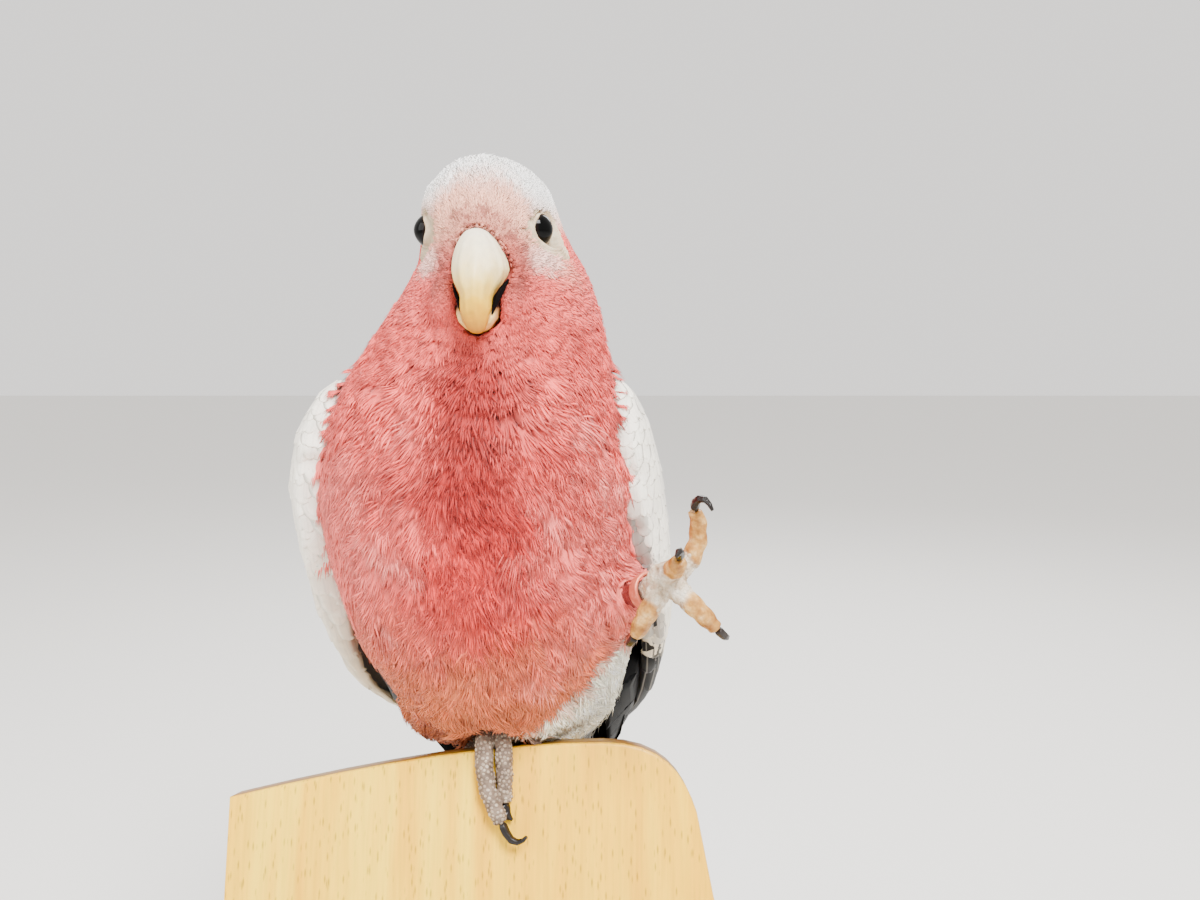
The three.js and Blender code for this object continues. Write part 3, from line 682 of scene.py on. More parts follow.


# %% [markdown]
# ## Skin under the coat
# The skin is the form pulled in by the depth of the plumage: 0.8 mm beside the bill, 3.8 mm on the
# breast. Where the form is thin, as at a wing's edge, it is pulled in less, by a third of the thickness
# that a ray finds. It shows only in the partings, where its markings are darkened as painted shade.
# Under the bare rings of the eyes it keeps clear of the lids.

# %% Depth of the coat
FAR = 9.0  # a reach that is safely off the bare skin
BEHIND_EYE = -4  # mm under an eye's centre, past which a place is not on its face
LID_ROOM = 3.0  # mm over an eye's centre that the skin may reach outside the lids
LID_REACH = (6.2, 8.0)  # mm from an eye's axis over which that room opens


def from_eyes(points):
    """Distance to the nearer eye's middle, in mm."""
    gaps = [np.linalg.norm(points - eye["centre"], axis=1) for eye in eyes.values()]
    return np.min(gaps, axis=0) / MM


def bare_reach(points):
    """How far out a place is on the bare skin round an eye: below 1 it is bare."""
    least = np.full(len(points), FAR)
    for eye in eyes.values():
        apart = (points - eye["centre"]) / MM
        ahead = apart @ eye["forward"]
        up = apart @ UP
        reach = np.hypot(ahead / np.where(ahead > 0, 10.4, 5.8), up / np.where(up > 0, 5.6, 9.4))
        least = np.minimum(least, np.where(apart @ eye["axis"] < BEHIND_EYE, FAR, reach))
    return least


def coat_depth(points):
    """Depth of the plumage in metres."""
    spot = bird_place(points)
    z = spot[:, 2]
    depth = 3.8 - 1.0 * step(92, 118, z) - 0.8 * step(124, 142, z)
    _, _, bill = bill_surface.nearest(points)
    depth = depth * (0.40 + 0.60 * step(1, 16, bill / MM))
    depth = depth * (0.45 + 0.55 * step(7, 13, from_eyes(points)))
    depth = depth + 2.4 * step(1.22, 0.98, bare_reach(points))
    _, _, body = body_surface.nearest(points)
    on_wing = step(-0.6, 0.6, (body - wing_distance(points)) / MM)
    return (depth * (1 - on_wing) + 1.3 * on_wing) * MM


def under_lids(points):
    """The points, with those that would rise through an eye's lids pressed down."""
    for eye in eyes.values():
        apart = (points - eye["centre"]) / MM
        lift = apart @ eye["axis"]
        away = np.linalg.norm(apart - lift[:, None] * eye["axis"], axis=1)
        beside = (away < LID_REACH[1]) & (lift > BEHIND_EYE)
        too_high = np.where(beside, lift - LID_ROOM * step(*LID_REACH, away), 0)
        points -= np.maximum(too_high, 0)[:, None] * eye["axis"] * MM
    return points


form_depth = coat_depth(form.points)
inside, _, hit = form.facing(form.points - form.normals * 0.1 * MM, -form.normals)
thickness = np.where(hit, np.linalg.norm(inside - form.points, axis=1), 1.0)
pulled = np.minimum(form_depth, 0.33 * thickness)
skin_points = under_lids(form.points - form.normals * pulled[:, None])
skin = mesh_object("skin", skin_points, form.triangles)
print("coat depth from", round(form_depth.min() / MM, 1), "to", round(form_depth.max() / MM, 1), "mm")

# %% [markdown]
# ## Bare skin and lids round the eyes
# A galah's eye sits in a ring of bare pale skin with fine folds that run round it.
# The ring is a lathe-like patch: rows of points go outwards from the lid's edge, over
# the curve of the eyeball, and down to the cheek, where the edge dives under the
# feathers. The folds are a small wave in its height, deepest below the eye, and the
# skin sinks in a shallow pit between the eye and the bill.

# %% Eye rings
RING_SIDES = 72
# Each row of the lid: mm outside the opening, and mm above the eyeball.
LID_ROWS = [(-0.30, -0.25), (0.0, 0.02), (0.10, 0.30), (0.32, 0.50), (0.65, 0.46), (1.0, 0.22)]
LID_WIDTH = LID_ROWS[-1][0]
FOLD_ROWS = 22
FOLD_PITCH = 0.80
PIT_DEPTH = 1.8
FACE_REACH = 6.4  # mm from the eye, inside which the face's own height is not asked
RING_THICKNESS = 1.1
around = np.linspace(0, 2 * math.pi, RING_SIDES, endpoint=False)
ahead, up = np.cos(around), np.sin(around)


def ring_place(eye, reach, height):
    """Points round an eye at a reach and a height over its centre, in mm."""
    flat = (ahead * reach)[:, None] * eye["forward"] + (up * reach)[:, None] * UP
    return eye["centre"] + (flat + height[:, None] * eye["axis"]) * MM


def face_height(eye, reach):
    """Height of the outer form over an eye's centre, in mm, at a reach all round it."""
    flat = ahead[:, None] * reach[:, None] * eye["forward"] + up[:, None] * reach[:, None] * UP
    origins = eye["centre"] + flat * MM + eye["axis"] * 30 * MM
    spots, _, hit = form.facing(origins, np.tile(-eye["axis"], (RING_SIDES, 1)))
    height = (spots - eye["centre"]) @ eye["axis"] / MM
    return np.where(hit, height, 0.0)


def fold_wave(reach, opening, part):
    """Height of the fine folds, which fade at the lid and at the ring's edge."""
    strength = 0.10 + 0.08 * np.clip(-up, 0, 1) + 0.03 * np.clip(ahead, 0, 1)
    phase = 2 * math.pi * (reach - opening) / FOLD_PITCH
    phase = phase + 0.9 * np.sin(3 * around + 1.0) + 0.5 * np.sin(7 * around)
    fade = math.sin(math.pi * min(1.0, part * 1.15)) ** 0.5 if part < 0.87 else 0.0
    return strength * fade * np.sin(phase)


def eye_ring(eye, name):
    """Closed patch of folded bare skin with a lid opening at the eye."""
    opening = 4.0 + 0.42 * np.clip(ahead, 0, 1) ** 6 + 0.30 * np.clip(-ahead, 0, 1) ** 6
    opening = opening + 0.40 * np.abs(up) ** 3
    outer = np.hypot(ahead * np.where(ahead > 0, 11.8, 7.8), up * np.where(up > 0, 7.4, 10.8))
    ball = eye["radius"] / MM
    rim = face_height(eye, np.full(RING_SIDES, FACE_REACH))
    top = []
    for away, lift in LID_ROWS:
        reach = opening + away
        height = np.sqrt(np.maximum(ball ** 2 - reach ** 2, 0.5)) + lift
        top.append(ring_place(eye, reach, height))
    for k in range(1, FOLD_ROWS + 1):
        part = k / FOLD_ROWS
        reach = opening + LID_WIDTH + (outer - opening - LID_WIDTH) * part
        over_ball = np.sqrt(np.maximum((ball + 0.25) ** 2 - reach ** 2, 0.0))
        towards_bill = np.clip(0.85 * ahead - 0.5 * up, 0, 1)
        hollow = PIT_DEPTH * towards_bill * math.sin(math.pi * min(1, 0.12 + part)) ** 0.5
        face = np.where(reach < FACE_REACH, rim, face_height(eye, reach)) - 0.75 - hollow
        gap = over_ball - face
        height = face + 0.5 * (gap + np.sqrt(gap ** 2 + 0.9 ** 2))
        height = height + fold_wave(reach, opening, part)
        height = height - 1.8 * max(0.0, part - 0.86) / 0.14
        top.append(ring_place(eye, reach, height))
    top = np.array(top)
    under = top - eye["axis"] * RING_THICKNESS * MM
    faces = loop_faces(2 * len(top), RING_SIDES)
    if np.dot(np.cross(eye["forward"], UP), eye["axis"]) > 0:
        faces = faces[:, ::-1]
    return mesh_object(name, np.concatenate([top, under[::-1]]).reshape(-1, 3), faces)


eye_rings = [eye_ring(eye, f"eye_ring_{side}") for side, eye in eyes.items()]
print("eye rings:", sum(len(ring.data.polygons) for ring in eye_rings), "faces")

# %% [markdown]
# ## A coat from thousands of feathers
# Each feather is a pattern bent onto its spine. Its colour is the marking at its quill, darkened near
# the skin as painted shade and lightened at the tip as painted light, with a slight change from one
# feather to the next. Its texture patch is a tiny square at the quill's place on an unwrap of the body:
# six sides of a box, each feather on the side that it faces.

# %% Coat builder
COAT_PATCH = 0.003
PIECE_LIMIT = 190000


def box_unwrap(places, normals):
    """Places on six charts of a box round them, by the side each one faces."""
    low = places.min(axis=0)
    size = np.maximum(places.max(axis=0) - low, 1e-6)
    part = (places - low) / size
    axis = np.abs(normals).argmax(axis=1)
    front = normals[np.arange(len(normals)), axis] > 0
    first = np.where(axis == 0, part[:, 1], part[:, 0])
    second = np.where(axis == 2, part[:, 1], part[:, 2])
    u = (axis + 0.03 + 0.93 * first) / 3
    v = (front + 0.02 + 0.95 * second) / 2
    return np.stack([u, v], 1)


def write_coat(name, corner_points, pattern, faces, roots, normals, colours, sizes, material):
    """Joins feathers into mesh pieces that each stay under the size limit."""
    per_piece = max(1, PIECE_LIMIT // len(faces))
    count = len(roots)
    parts = math.ceil(count / per_piece)
    order = np.argsort(roots[:, 2] + 0.4 * roots[:, 1])
    for number in range(parts):
        chosen = order[number * count // parts:(number + 1) * count // parts]
        points = corner_points[chosen]
        each = points.shape[1]
        all_faces = (faces[None] + (np.arange(len(chosen)) * each)[:, None, None]).reshape(-1, 3)
        label = name if parts == 1 else f"{name}_{number + 1}"
        piece = mesh_object(label, points.reshape(-1, 3), all_faces)
        colour = np.concatenate([colours[chosen], np.ones((len(chosen), each, 1))], axis=2)
        marking = piece.data.color_attributes.new("marking", "FLOAT_COLOR", "POINT")
        marking.data.foreach_set("color", colour.astype(np.float32).ravel())
        place = box_unwrap(roots[chosen], normals[chosen])
        patch = np.stack([(pattern[:, 1] + 1) / 2, pattern[:, 0]], 1).clip(0, 1) * COAT_PATCH
        flat = (place[:, None] + patch[None]).reshape(-1, 2)
        bake_map = piece.data.uv_layers.new(name="OFBake")
        bake_map.uv.foreach_set("vector", flat[all_faces.ravel()].astype(np.float32).ravel())
        vane_map = piece.data.uv_layers.new(name="vane")
        vane = (pattern[None, :, [1, 0]] * sizes[chosen][:, None, :]).reshape(-1, 2) / MM
        vane_map.uv.foreach_set("vector", vane[all_faces.ravel()].astype(np.float32).ravel())
        piece.data.uv_layers.active = bake_map
        piece.data.materials.append(material)
        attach(piece, "root")
        print(label, len(chosen), "feathers,", len(all_faces), "triangles")


def shaded(base, pattern, random, root_shade, tip_shade, change, tints=1.0):
    """Feather colours: painted shade at the quill, painted light at the tip, no two quite alike."""
    along = np.clip(pattern[:, 0], 0, 1)
    shade = (root_shade + (tip_shade - root_shade) * along ** 0.8) * tints
    each = 1 + change * random.normal(size=(len(base), 1, 1))
    return np.clip(base[:, None, :] * shade[None, :, None] * each, 0, 1)


# %% [markdown]
# ## Feather material
# Feathers are keratin. Loose barbs scatter light softly and hold no sharp gloss, so
# the surface is rough, with a little sheen for the down at its edges. Streaks that
# fan out from the quill, 0.35 mm apart halfway along, stand for single barbs. Real
# barbs are finer, and these are drawn as coarse as they need to show.

# %% Barb material
STREAK = 0.35
FAN_START = 3.0
FAN_LENGTH = 11.0
FEATHER_SEED = (170.0, 130.0, 150.0)  # turns a place into a streak pattern of its own


def barb_keratin(tree, place):
    """Soft matt keratin, streaked by barbs that fan out from the quill."""
    marking = add_node(tree, "ShaderNodeAttribute", attribute_name="marking")
    vane = add_node(tree, "ShaderNodeUVMap", uv_map="vane")
    part = add_node(tree, "ShaderNodeSeparateXYZ", {"Vector": vane})
    from_quill = add_node(tree, "ShaderNodeMath", {0: part.outputs["Y"], 1: FAN_START}, operation="ADD")
    angle = add_node(tree, "ShaderNodeMath", {
        0: part.outputs["X"], 1: from_quill,
    }, operation="DIVIDE")
    fan = add_node(tree, "ShaderNodeMath", {
        0: angle, 1: FAN_LENGTH / STREAK,
    }, operation="MULTIPLY")
    slow = add_node(tree, "ShaderNodeMath", {0: part.outputs["Y"], 1: 0.22}, operation="MULTIPLY")
    feather = add_node(tree, "ShaderNodeVectorMath", {
        0: place, 1: FEATHER_SEED,
    }, operation="DOT_PRODUCT")
    streak_place = add_node(tree, "ShaderNodeCombineXYZ", {
        "X": fan, "Y": slow, "Z": feather.outputs["Value"],
    })
    streaks = add_node(tree, "ShaderNodeTexNoise", {
        "Vector": streak_place, "Scale": 1.0, "Detail": 2.0,
    })
    value = add_node(tree, "ShaderNodeMapRange", {
        "Value": streaks, "From Min": 0.3, "From Max": 0.7, "To Min": 0.84, "To Max": 1.12,
    })
    tone = add_node(tree, "ShaderNodeHueSaturation", {
        "Color": marking, "Value": value,
    })
    bump = add_node(tree, "ShaderNodeBump", {
        "Height": streaks, "Strength": 0.45, "Distance": 0.2 * MM,
    })
    return add_node(tree, "ShaderNodeBsdfPrincipled", {
        "Base Color": tone, "Roughness": 0.72, "Normal": bump,
        "Sheen Weight": 0.06, "Sheen Roughness": 0.45, "Specular IOR Level": 0.15, "IOR": 1.55,
    })


barb_material = new_material("barb_keratin", barb_keratin)
print("coat material:", barb_material.name)

# %% [markdown]
# ## Where soft feathers grow and how long they are
# Feather length grows with distance from the bill, from 3 mm at its root to 5 mm on
# the cheeks and 14 mm on the breast, and the crown's feathers lengthen towards the
# folded crest. Spacing follows length, so the coat is everywhere several feathers
# deep, and it is denser down the middle of the breast, where the feathers part.

# %% Quills of the soft feathers
SPACING_SHARE = 0.203  # distance between quills as a share of a feather's length
PARTING_SHARE = 0.035  # how much closer they are down the middle of the breast


def feather_length(points):
    """Length of a soft feather in metres."""
    spot = bird_place(points)
    x, y, z = spot.T
    _, _, bill = bill_surface.nearest(points)
    head = 2.8 + 0.26 * np.clip(bill / MM, 0, 30)
    head = np.minimum(head, 2.3 + 0.5 * np.clip(from_eyes(points) - 7.5, 0, 20))
    head = head + 3.5 * step(0, 22, y) * step(146, 158, z)
    body = 14.5 + 2.0 * patches(spot, 14.0)
    fluff = 5.0 * step(-4, 6, x - FLANK_SLOPE * z - FLANK_EDGE + 2) * step(30, 12, z)
    return (body + fluff + (head - body) * step(96, 130, z)) * MM


def soft_spacing(points):
    """Distance between quills in metres."""
    x, _, z = bird_place(points).T
    parting = step(16, 6, np.abs(x)) * step(46, 58, z) * step(118, 108, z)
    return (SPACING_SHARE - PARTING_SHARE * parting) * feather_length(points)


def off_wing(points):
    """True where body feathers grow."""
    _, _, body = body_surface.nearest(points)
    return body < wing_distance(points) + 0.3 * MM


def clear_of_face(points):
    """True outside the bare skin round the eyes, outside the bill and off the legs."""
    _, _, bill = bill_surface.nearest(points)
    _, _, leg = leg_surface.nearest(points)
    return (bare_reach(points) > 1) & (bill > 0.4 * MM) & (leg > 0.5 * MM)


def is_back(points):
    """True on the grey back and rump, which have smooth feathers."""
    spot = bird_place(points)
    x, y, z = spot.T
    return (y + 0.10 * (z - 60) - 0.45 * np.abs(x) > 14) & (z < 98) & (z > -8)


quills, quill_normals = scatter(
    form, soft_spacing, lambda p: off_wing(p) & clear_of_face(p) & ~is_back(p), seed=11
)
print(len(quills), "soft quills")

# %% [markdown]
# ## Feathers of the head, neck, breast and belly
# Three cuts of feather share the coat: small and tight on the head, then looser, with
# more and thinner locks, on the neck and the body. Each comes in three variants, so
# that no pattern repeats. One feather in five stands a little proud of its neighbours
# and differs in tone, which breaks the coat into tufts. A feather whose tip would lie
# over a wing or on an eye's bare ring is shorter, and one beside a wing lies over it.

# %% Soft body feathers
# Each cut: locks, a lock's half width, relief, contrast, shade at the quill, and where.
SOFT_CUTS = {
    "head": (7, 0.150, 0.036, 0.35, 0.86, lambda z: z > 126),
    "neck": (12, 0.085, 0.060, 0.9, 0.74, lambda z: (z <= 126) & (z > 98)),
    "body": (19, 0.055, 0.060, 1.0, 0.76, lambda z: z <= 98),
}
VARIANTS = "abc"
PROUD_SHARE = 0.22
PROUD_TONES = [0.80, 1.10, 1.22]
SOFT_WIDTH = 0.27  # half width as a share of length
OVER_WING = 1.1  # mm that a tip is raised where it crosses a wing
STRAY_REACH = 3.5  # mm that a feather beside a wing may run outwards


def length_share(quills):
    """Shares of full length: less beside bare skin and beside or over a wing."""
    tips = walk(quills, quill_normals, feather_length(quills), lie, steps=3)[0][:, -1]
    share = np.where(bare_reach(tips) < 0.92, 0.45, 1.0)
    outwards = np.abs(tips[:, 0]) - np.abs(quills[:, 0])
    strays = (outwards > STRAY_REACH * MM) & (towards_wing(tips)[1] < 0.8) & (quills[:, 1] < 0)
    return share * np.where(strays, 0.35, np.where(towards_wing(quills)[1] < 1.0, 0.6, 1.0))


def raised_over_wing(spines, outs):
    """Spines lifted off a wing that they cross, most at their tips."""
    _, wing_gap = towards_wing(spines.reshape(-1, 3))
    over_wing = step(1.5, 0.3, wing_gap).reshape(spines.shape[:2])
    over_wing = over_wing * np.linspace(0, 1, spines.shape[1])
    return spines + outs * (OVER_WING * MM * over_wing)[..., None]


def soft_colours(random, roots, heights, proud):
    """Each feather's colour at its quill, with bristles at the bill and proud tones."""
    count = len(roots)
    _, _, from_horn = bill_surface.nearest(roots)
    mottled = (random.random(count) < 0.34) & (from_horn < 4.5 * MM) & (heights > 133)
    base = paint(markings(roots), "bristle", 0.55 * mottled)
    tone = np.where(proud & (heights < 126), random.choice(PROUD_TONES, count), 1.0)
    return base * tone[:, None]


def soft_feathers(name, random, member, style):
    """Lays one variant of one cut of soft feathers on its own quills."""
    locks, fine, relief, contrast, root_shade = style
    roots, normals, height = quills[member], quill_normals[member], heights[member]
    count = len(roots)
    proud = (random.random(count) < PROUD_SHARE) & (bill_surface.nearest(roots)[2] > 6 * MM)
    proud &= (height < 135) | (roots[:, 1] < -0.015)
    lengths = feather_length(roots) * random.uniform(0.78, 1.2, count) * shares[member]
    lengths = lengths * np.where(proud, 1.12, 1.0)
    spines, ways, outs = walk(roots, normals, lengths, lie)
    spines = raised_over_wing(spines, outs)
    pattern, faces, tints = barbed_pattern(random, locks, fine)
    corner_points = bend(
        pattern, spines, ways, outs, widths=SOFT_WIDTH * lengths,
        depths=coat_depth(roots) * np.where(proud, 0.45, 1.0),
        rises=relief * lengths * random.uniform(0.6, 1.2, count) * np.where(proud, 1.35, 1.0),
        curls=lengths * random.normal(0.008, 0.02, count),
        sweeps=lengths * random.normal(0.0, 0.15, count),
    )
    base = soft_colours(random, roots, height, proud)
    colours = shaded(base, pattern, random, root_shade, 1.08, 0.05, tints ** contrast)
    write_coat(
        name, corner_points, pattern, faces, roots, normals, colours,
        np.stack([SOFT_WIDTH * lengths, lengths], 1), barb_material,
    )


heights = bird_place(quills)[:, 2]
shares = length_share(quills)
for place, (*style, belongs) in SOFT_CUTS.items():
    random = np.random.default_rng(20 + style[0])
    kind = random.integers(0, len(VARIANTS), len(quills))
    for number, variant in enumerate(VARIANTS):
        member = np.flatnonzero(belongs(heights) & (kind == number))
        soft_feathers(f"{place}_feathers_{variant}", random, member, style)

# %% [markdown]
# ## Bristly feathers round the bill
# Short stiff feathers close over the bill's root and hide the line where horn meets
# skin. Each one grows from the face just outside the bill and leans forwards onto the
# horn. Its spine is a curve from the quill to a place on the horn, 0.3 mm above it.

# %% Feather the bill's root
ALONG_BILL = unit(np.array([0.0, -1.0, -0.45]))
BRISTLE_SPACING = 0.85
BRISTLE_LENGTH = 2.3


def onto_horn(roots, normals, lengths, steps=4):
    """Spines that rise from the face and lean forwards onto the bill."""
    spot, horn_normal, gap = bill_surface.nearest(roots)
    reach = spot + ALONG_BILL * np.maximum(lengths - gap, 0.6 * MM)[:, None]
    spot, horn_normal, _ = bill_surface.nearest(reach)
    end = spot + horn_normal * 0.3 * MM
    middle = (roots + end) / 2 + (normals + horn_normal) * 0.45 * MM
    part = np.linspace(0, 1, steps + 1)[None, :, None]
    spines = roots[:, None] * (1 - part) ** 2 + 2 * middle[:, None] * part * (1 - part)
    spines = spines + end[:, None] * part ** 2
    ways = unit(np.gradient(spines, axis=1))
    outs = normals[:, None] * (1 - part) + horn_normal[:, None] * part
    outs = unit(outs - ways * np.sum(outs * ways, axis=2, keepdims=True))
    return spines, ways, outs


def at_bill(points):
    """True on the face within 2 mm of the upper bill's top and shoulders."""
    spot = bird_place(points)
    gap = bill_surface.nearest(points)[2] / MM
    return (gap > 0.2) & (gap < 2.0) & (spot[:, 1] < -9) & (spot[:, 2] > 139)


roots, normals = scatter(form, lambda p: np.full(len(p), BRISTLE_SPACING * MM), at_bill, seed=14)
random = np.random.default_rng(95)
lengths = BRISTLE_LENGTH * random.uniform(0.7, 1.25, len(roots)) * MM
spines, ways, outs = onto_horn(roots, normals, lengths)
pattern, faces, tints = barbed_pattern(random, 6, 0.11)
corner_points = bend(
    pattern, spines, ways, outs, widths=0.24 * lengths, depths=np.full(len(roots), 0.5 * MM),
    rises=0.07 * lengths, curls=lengths * random.normal(0.02, 0.04, len(roots)),
    sweeps=lengths * random.normal(0.0, 0.25, len(roots)),
)
base = markings(roots)
base = paint(base, "bristle", 0.8 * (random.random(len(roots)) < 0.45))
colours = shaded(base, pattern, random, 0.85, 1.05, 0.08, tints)
write_coat(
    "bill_root_feathers", corner_points, pattern, faces, roots, normals, colours,
    np.stack([0.24 * lengths, lengths], 1), barb_material,
)

# %% [markdown]
# ## Smooth vanes
# The wing's feathers are stiffer. Their barbs are zipped together into a smooth vane
# on both sides of a quill, so they show a fine slanting grain, a soft satin gloss and
# crisp edges. The grain is drawn from a map in millimetres across and along each
# feather, with barbs 0.8 mm apart, coarser than real so that they show.

# %% Vane material
BARB_PITCH = 0.8
QUILL_WIDTH = 0.5


def vane_keratin(tree, place, quill_colour, roughness, shine):
    """Zipped barbs with a slanting grain and a quill line."""
    marking = add_node(tree, "ShaderNodeAttribute", attribute_name="marking")
    vane = add_node(tree, "ShaderNodeUVMap", uv_map="vane")
    part = add_node(tree, "ShaderNodeSeparateXYZ", {"Vector": vane})
    across = add_node(tree, "ShaderNodeMath", {0: part.outputs["X"]}, operation="ABSOLUTE")
    slant = add_node(tree, "ShaderNodeMath", {
        0: across, 1: -1.1, 2: part.outputs["Y"],
    }, operation="MULTIPLY_ADD")
    wave = add_node(tree, "ShaderNodeMath", {
        0: slant, 1: 2 * math.pi / BARB_PITCH,
    }, operation="MULTIPLY")
    grain = add_node(tree, "ShaderNodeMath", {0: wave}, operation="SINE")
    noise = add_node(tree, "ShaderNodeTexNoise", {"Vector": place, "Scale": 240.0, "Detail": 4.0})
    grain_tone = add_node(tree, "ShaderNodeMapRange", {
        "Value": grain, "From Min": -1.0, "From Max": 1.0, "To Min": 0.95, "To Max": 1.03,
    })
    patch = add_node(tree, "ShaderNodeMapRange", {
        "Value": noise, "From Min": 0.3, "From Max": 0.7, "To Min": 0.92, "To Max": 1.06,
    })
    value = add_node(tree, "ShaderNodeMath", {0: grain_tone, 1: patch}, operation="MULTIPLY")
    tone = add_node(tree, "ShaderNodeHueSaturation", {"Color": marking, "Value": value})
    quill = add_node(tree, "ShaderNodeMapRange", {
        "Value": across, "From Min": QUILL_WIDTH * 0.3, "From Max": QUILL_WIDTH * 0.7,
        "To Min": 0.28, "To Max": 0.0,
    })
    colour = add_node(tree, "ShaderNodeMix", {
        "Factor": quill, 6: tone, 7: linear(quill_colour),
    }, data_type="RGBA")
    bump = add_node(tree, "ShaderNodeBump", {
        "Height": grain, "Strength": 0.2, "Distance": 0.06 * MM,
    })
    return add_node(tree, "ShaderNodeBsdfPrincipled", {
        "Base Color": colour.outputs[2], "Roughness": roughness, "Normal": bump, "IOR": 1.55,
        "Sheen Weight": 0.2 * shine, "Sheen Roughness": 0.4, "Specular IOR Level": shine,
    })


silver_vane = new_material("silver_vane_keratin", vane_keratin, "#c9c2b8", 0.55, 0.35)
dark_vane = new_material("dark_vane_keratin", vane_keratin, "#0c0b0b", 0.50, 0.05)
print("vane materials:", silver_vane.name, dark_vane.name)

# %% [markdown]
# ## The folded wing as a sheet
# A folded wing is a stack of feathers that all run towards its tip. The outer face of
# the wing's solid is measured level by level, as a sheet with a row for each level
# and a column for each share of the way from the front edge to the back. Feathers
# that keep their share then close up towards the tip, as real ones do.

# %% Measure a sheet on each wing
class Sheet:
    """Points and normals on a grid of levels (mm) and shares across (0 to 1)."""

    def __init__(self, surface, levels, sweep, columns=33, wrap=False):
        rows = []
        outs = []
        kept = []
        for level in levels:
            origins, directions = sweep(level)
            spots, normals, hit = surface.facing(origins, directions)
            spots, normals = spots[hit], normals[hit]
            if len(spots) < 3:
                continue
            if wrap:
                spots, normals = self.with_front_edge(surface, spots, normals, directions[hit])
            strides = np.linalg.norm(np.diff(spots, axis=0), axis=1)
            lengths = np.concatenate([[0], np.cumsum(strides)])
            share = np.linspace(0, lengths[-1], columns)
            rows.append(np.stack([np.interp(share, lengths, spots[:, k]) for k in range(3)], 1))
            outs.append(np.stack([np.interp(share, lengths, normals[:, k]) for k in range(3)], 1))
            kept.append(level)
        self.levels = np.array(kept)
        self.rows = np.array(rows)
        self.outs = unit(np.array(outs))
        self.columns = columns

    @staticmethod
    def with_front_edge(surface, spots, normals, directions):
        """Adds points round the blade's front edge, from the inner face outwards."""
        start = spots[1:2] + directions[1:2] * 0.2 * MM
        inner, _, hit = surface.facing(start, directions[1:2])
        if not hit[0]:
            return spots, normals
        front = unit(spots[0] - spots[2])
        edge = [spots[0] + (inner[0] - spots[1]) * part + front * bulge * MM
                for part, bulge in ((1.0, 0.0), (0.66, 0.7), (0.33, 0.7))]
        turned = [unit(front + directions[0] * lean) for lean in (0.9, 0.1, -0.5)]
        return np.concatenate([edge, spots]), np.concatenate([turned, normals])

    def at(self, level, share):
        """Points and normals at some levels and shares, past the ends in a straight line."""
        top, step_down = self.levels[0], self.levels[0] - self.levels[1]
        row = (top - np.asarray(level, float)) / step_down
        low = np.clip(np.floor(row).astype(int), 0, len(self.levels) - 2)
        part = (row - low)[..., None]
        column = np.clip(np.asarray(share, float), 0, 1) * (self.columns - 1)
        left = np.clip(np.floor(column).astype(int), 0, self.columns - 2)
        side = (column - left)[..., None]

        def read(grid, bound):
            across_low = grid[low, left] * (1 - side) + grid[low, left + 1] * side
            across_high = grid[low + 1, left] * (1 - side) + grid[low + 1, left + 1] * side
            share_down = np.clip(part, 0, 1) if bound else part
            return across_low * (1 - share_down) + across_high * share_down

        return read(self.rows, False), unit(read(self.outs, True))

    def width(self, level):
        """Width of the sheet at a level, in metres."""
        row = self.at(np.full(self.columns, level), np.linspace(0, 1, self.columns))[0]
        return np.linalg.norm(np.diff(row, axis=0), axis=1).sum()


def body_middle(level):
    """Middle of the form at a level, in metres."""
    close = np.abs(form.points[:, 2] / MM - GRIP_EDGE[2] - level) < 3
    return form.points[close].mean(axis=0)


def round_the_body(sign, first, last):
    """Rays from outside towards the body's middle, from one angle to another."""

    def sweep(level):
        angles = np.radians(np.arange(first, last, 2.0))
        out = np.stack([sign * np.sin(angles), -np.cos(angles), np.zeros_like(angles)], 1)
        middle = body_middle(np.clip(level, -40, 105))
        middle[2] = (level + GRIP_EDGE[2]) * MM
        return middle + out * 0.15, -out

    return sweep


wing_sheet = {}
flight_sheet = {}
for side, sign in (("left", 1), ("right", -1)):
    wing_sheet[side] = Sheet(
        wing_surface[side], np.arange(107, -56, -4), round_the_body(sign, 40, 184), wrap=True
    )
    flight_surface = measuring("flight_solid", [f"primaries_{side}"])
    flight_sheet[side] = Sheet(
        flight_surface, np.arange(24, -80, -4), round_the_body(sign, 60, 184)
    )
print("wing sheet width at the shoulder and waist:",
      [round(wing_sheet["left"].width(level) / MM) for level in (100, 60, 20)], "mm")


def sheet_spines(sheet, levels, shares, lengths, steps):
    """Spines that run down a sheet from a level, keeping their share of the width."""
    spots, outs = [], []
    level = np.array(levels, float)
    for k in range(steps + 1):
        spot, out = sheet.at(level, shares)
        if k:
            rise = np.linalg.norm(spot - spots[-1], axis=1)
            level = level + (rise - lengths / steps) / MM * 0.9
            spot, out = sheet.at(level, shares)
        spots.append(spot)
        outs.append(out)
        level = level - lengths / steps / MM
    return np.stack(spots, 1), np.stack(outs, 1)


# %% [markdown]
# ## Colours of wing, flight feathers and tail
# The wing is palest along its front edge, where its pale grey is brightened to near white as painted
# light, and warmer below, and it turns to silver grey towards the back. On the bird's left a band of
# the front edge is painted deep grey as shade beside the breast, and the front of its lower half
# darkens to the near black of the long flight feathers, which is partly painted shade. The tail is a
# dark grey. These colours are asked by level and by share of the wing's width.

# %% Wing colours
WING_COLOURS = {
    "front edge": "#f9f2e3",
    "lower edge": "#f4e4c6",
    "silver": "#8d8d8e",
    "deep grey": "#736c67",
    # The flight feathers' near black is darker than their real grey and is partly painted shade beside
    # the flanks.
    "flight": "#070708",
    "tail": "#3b3c3f",
}


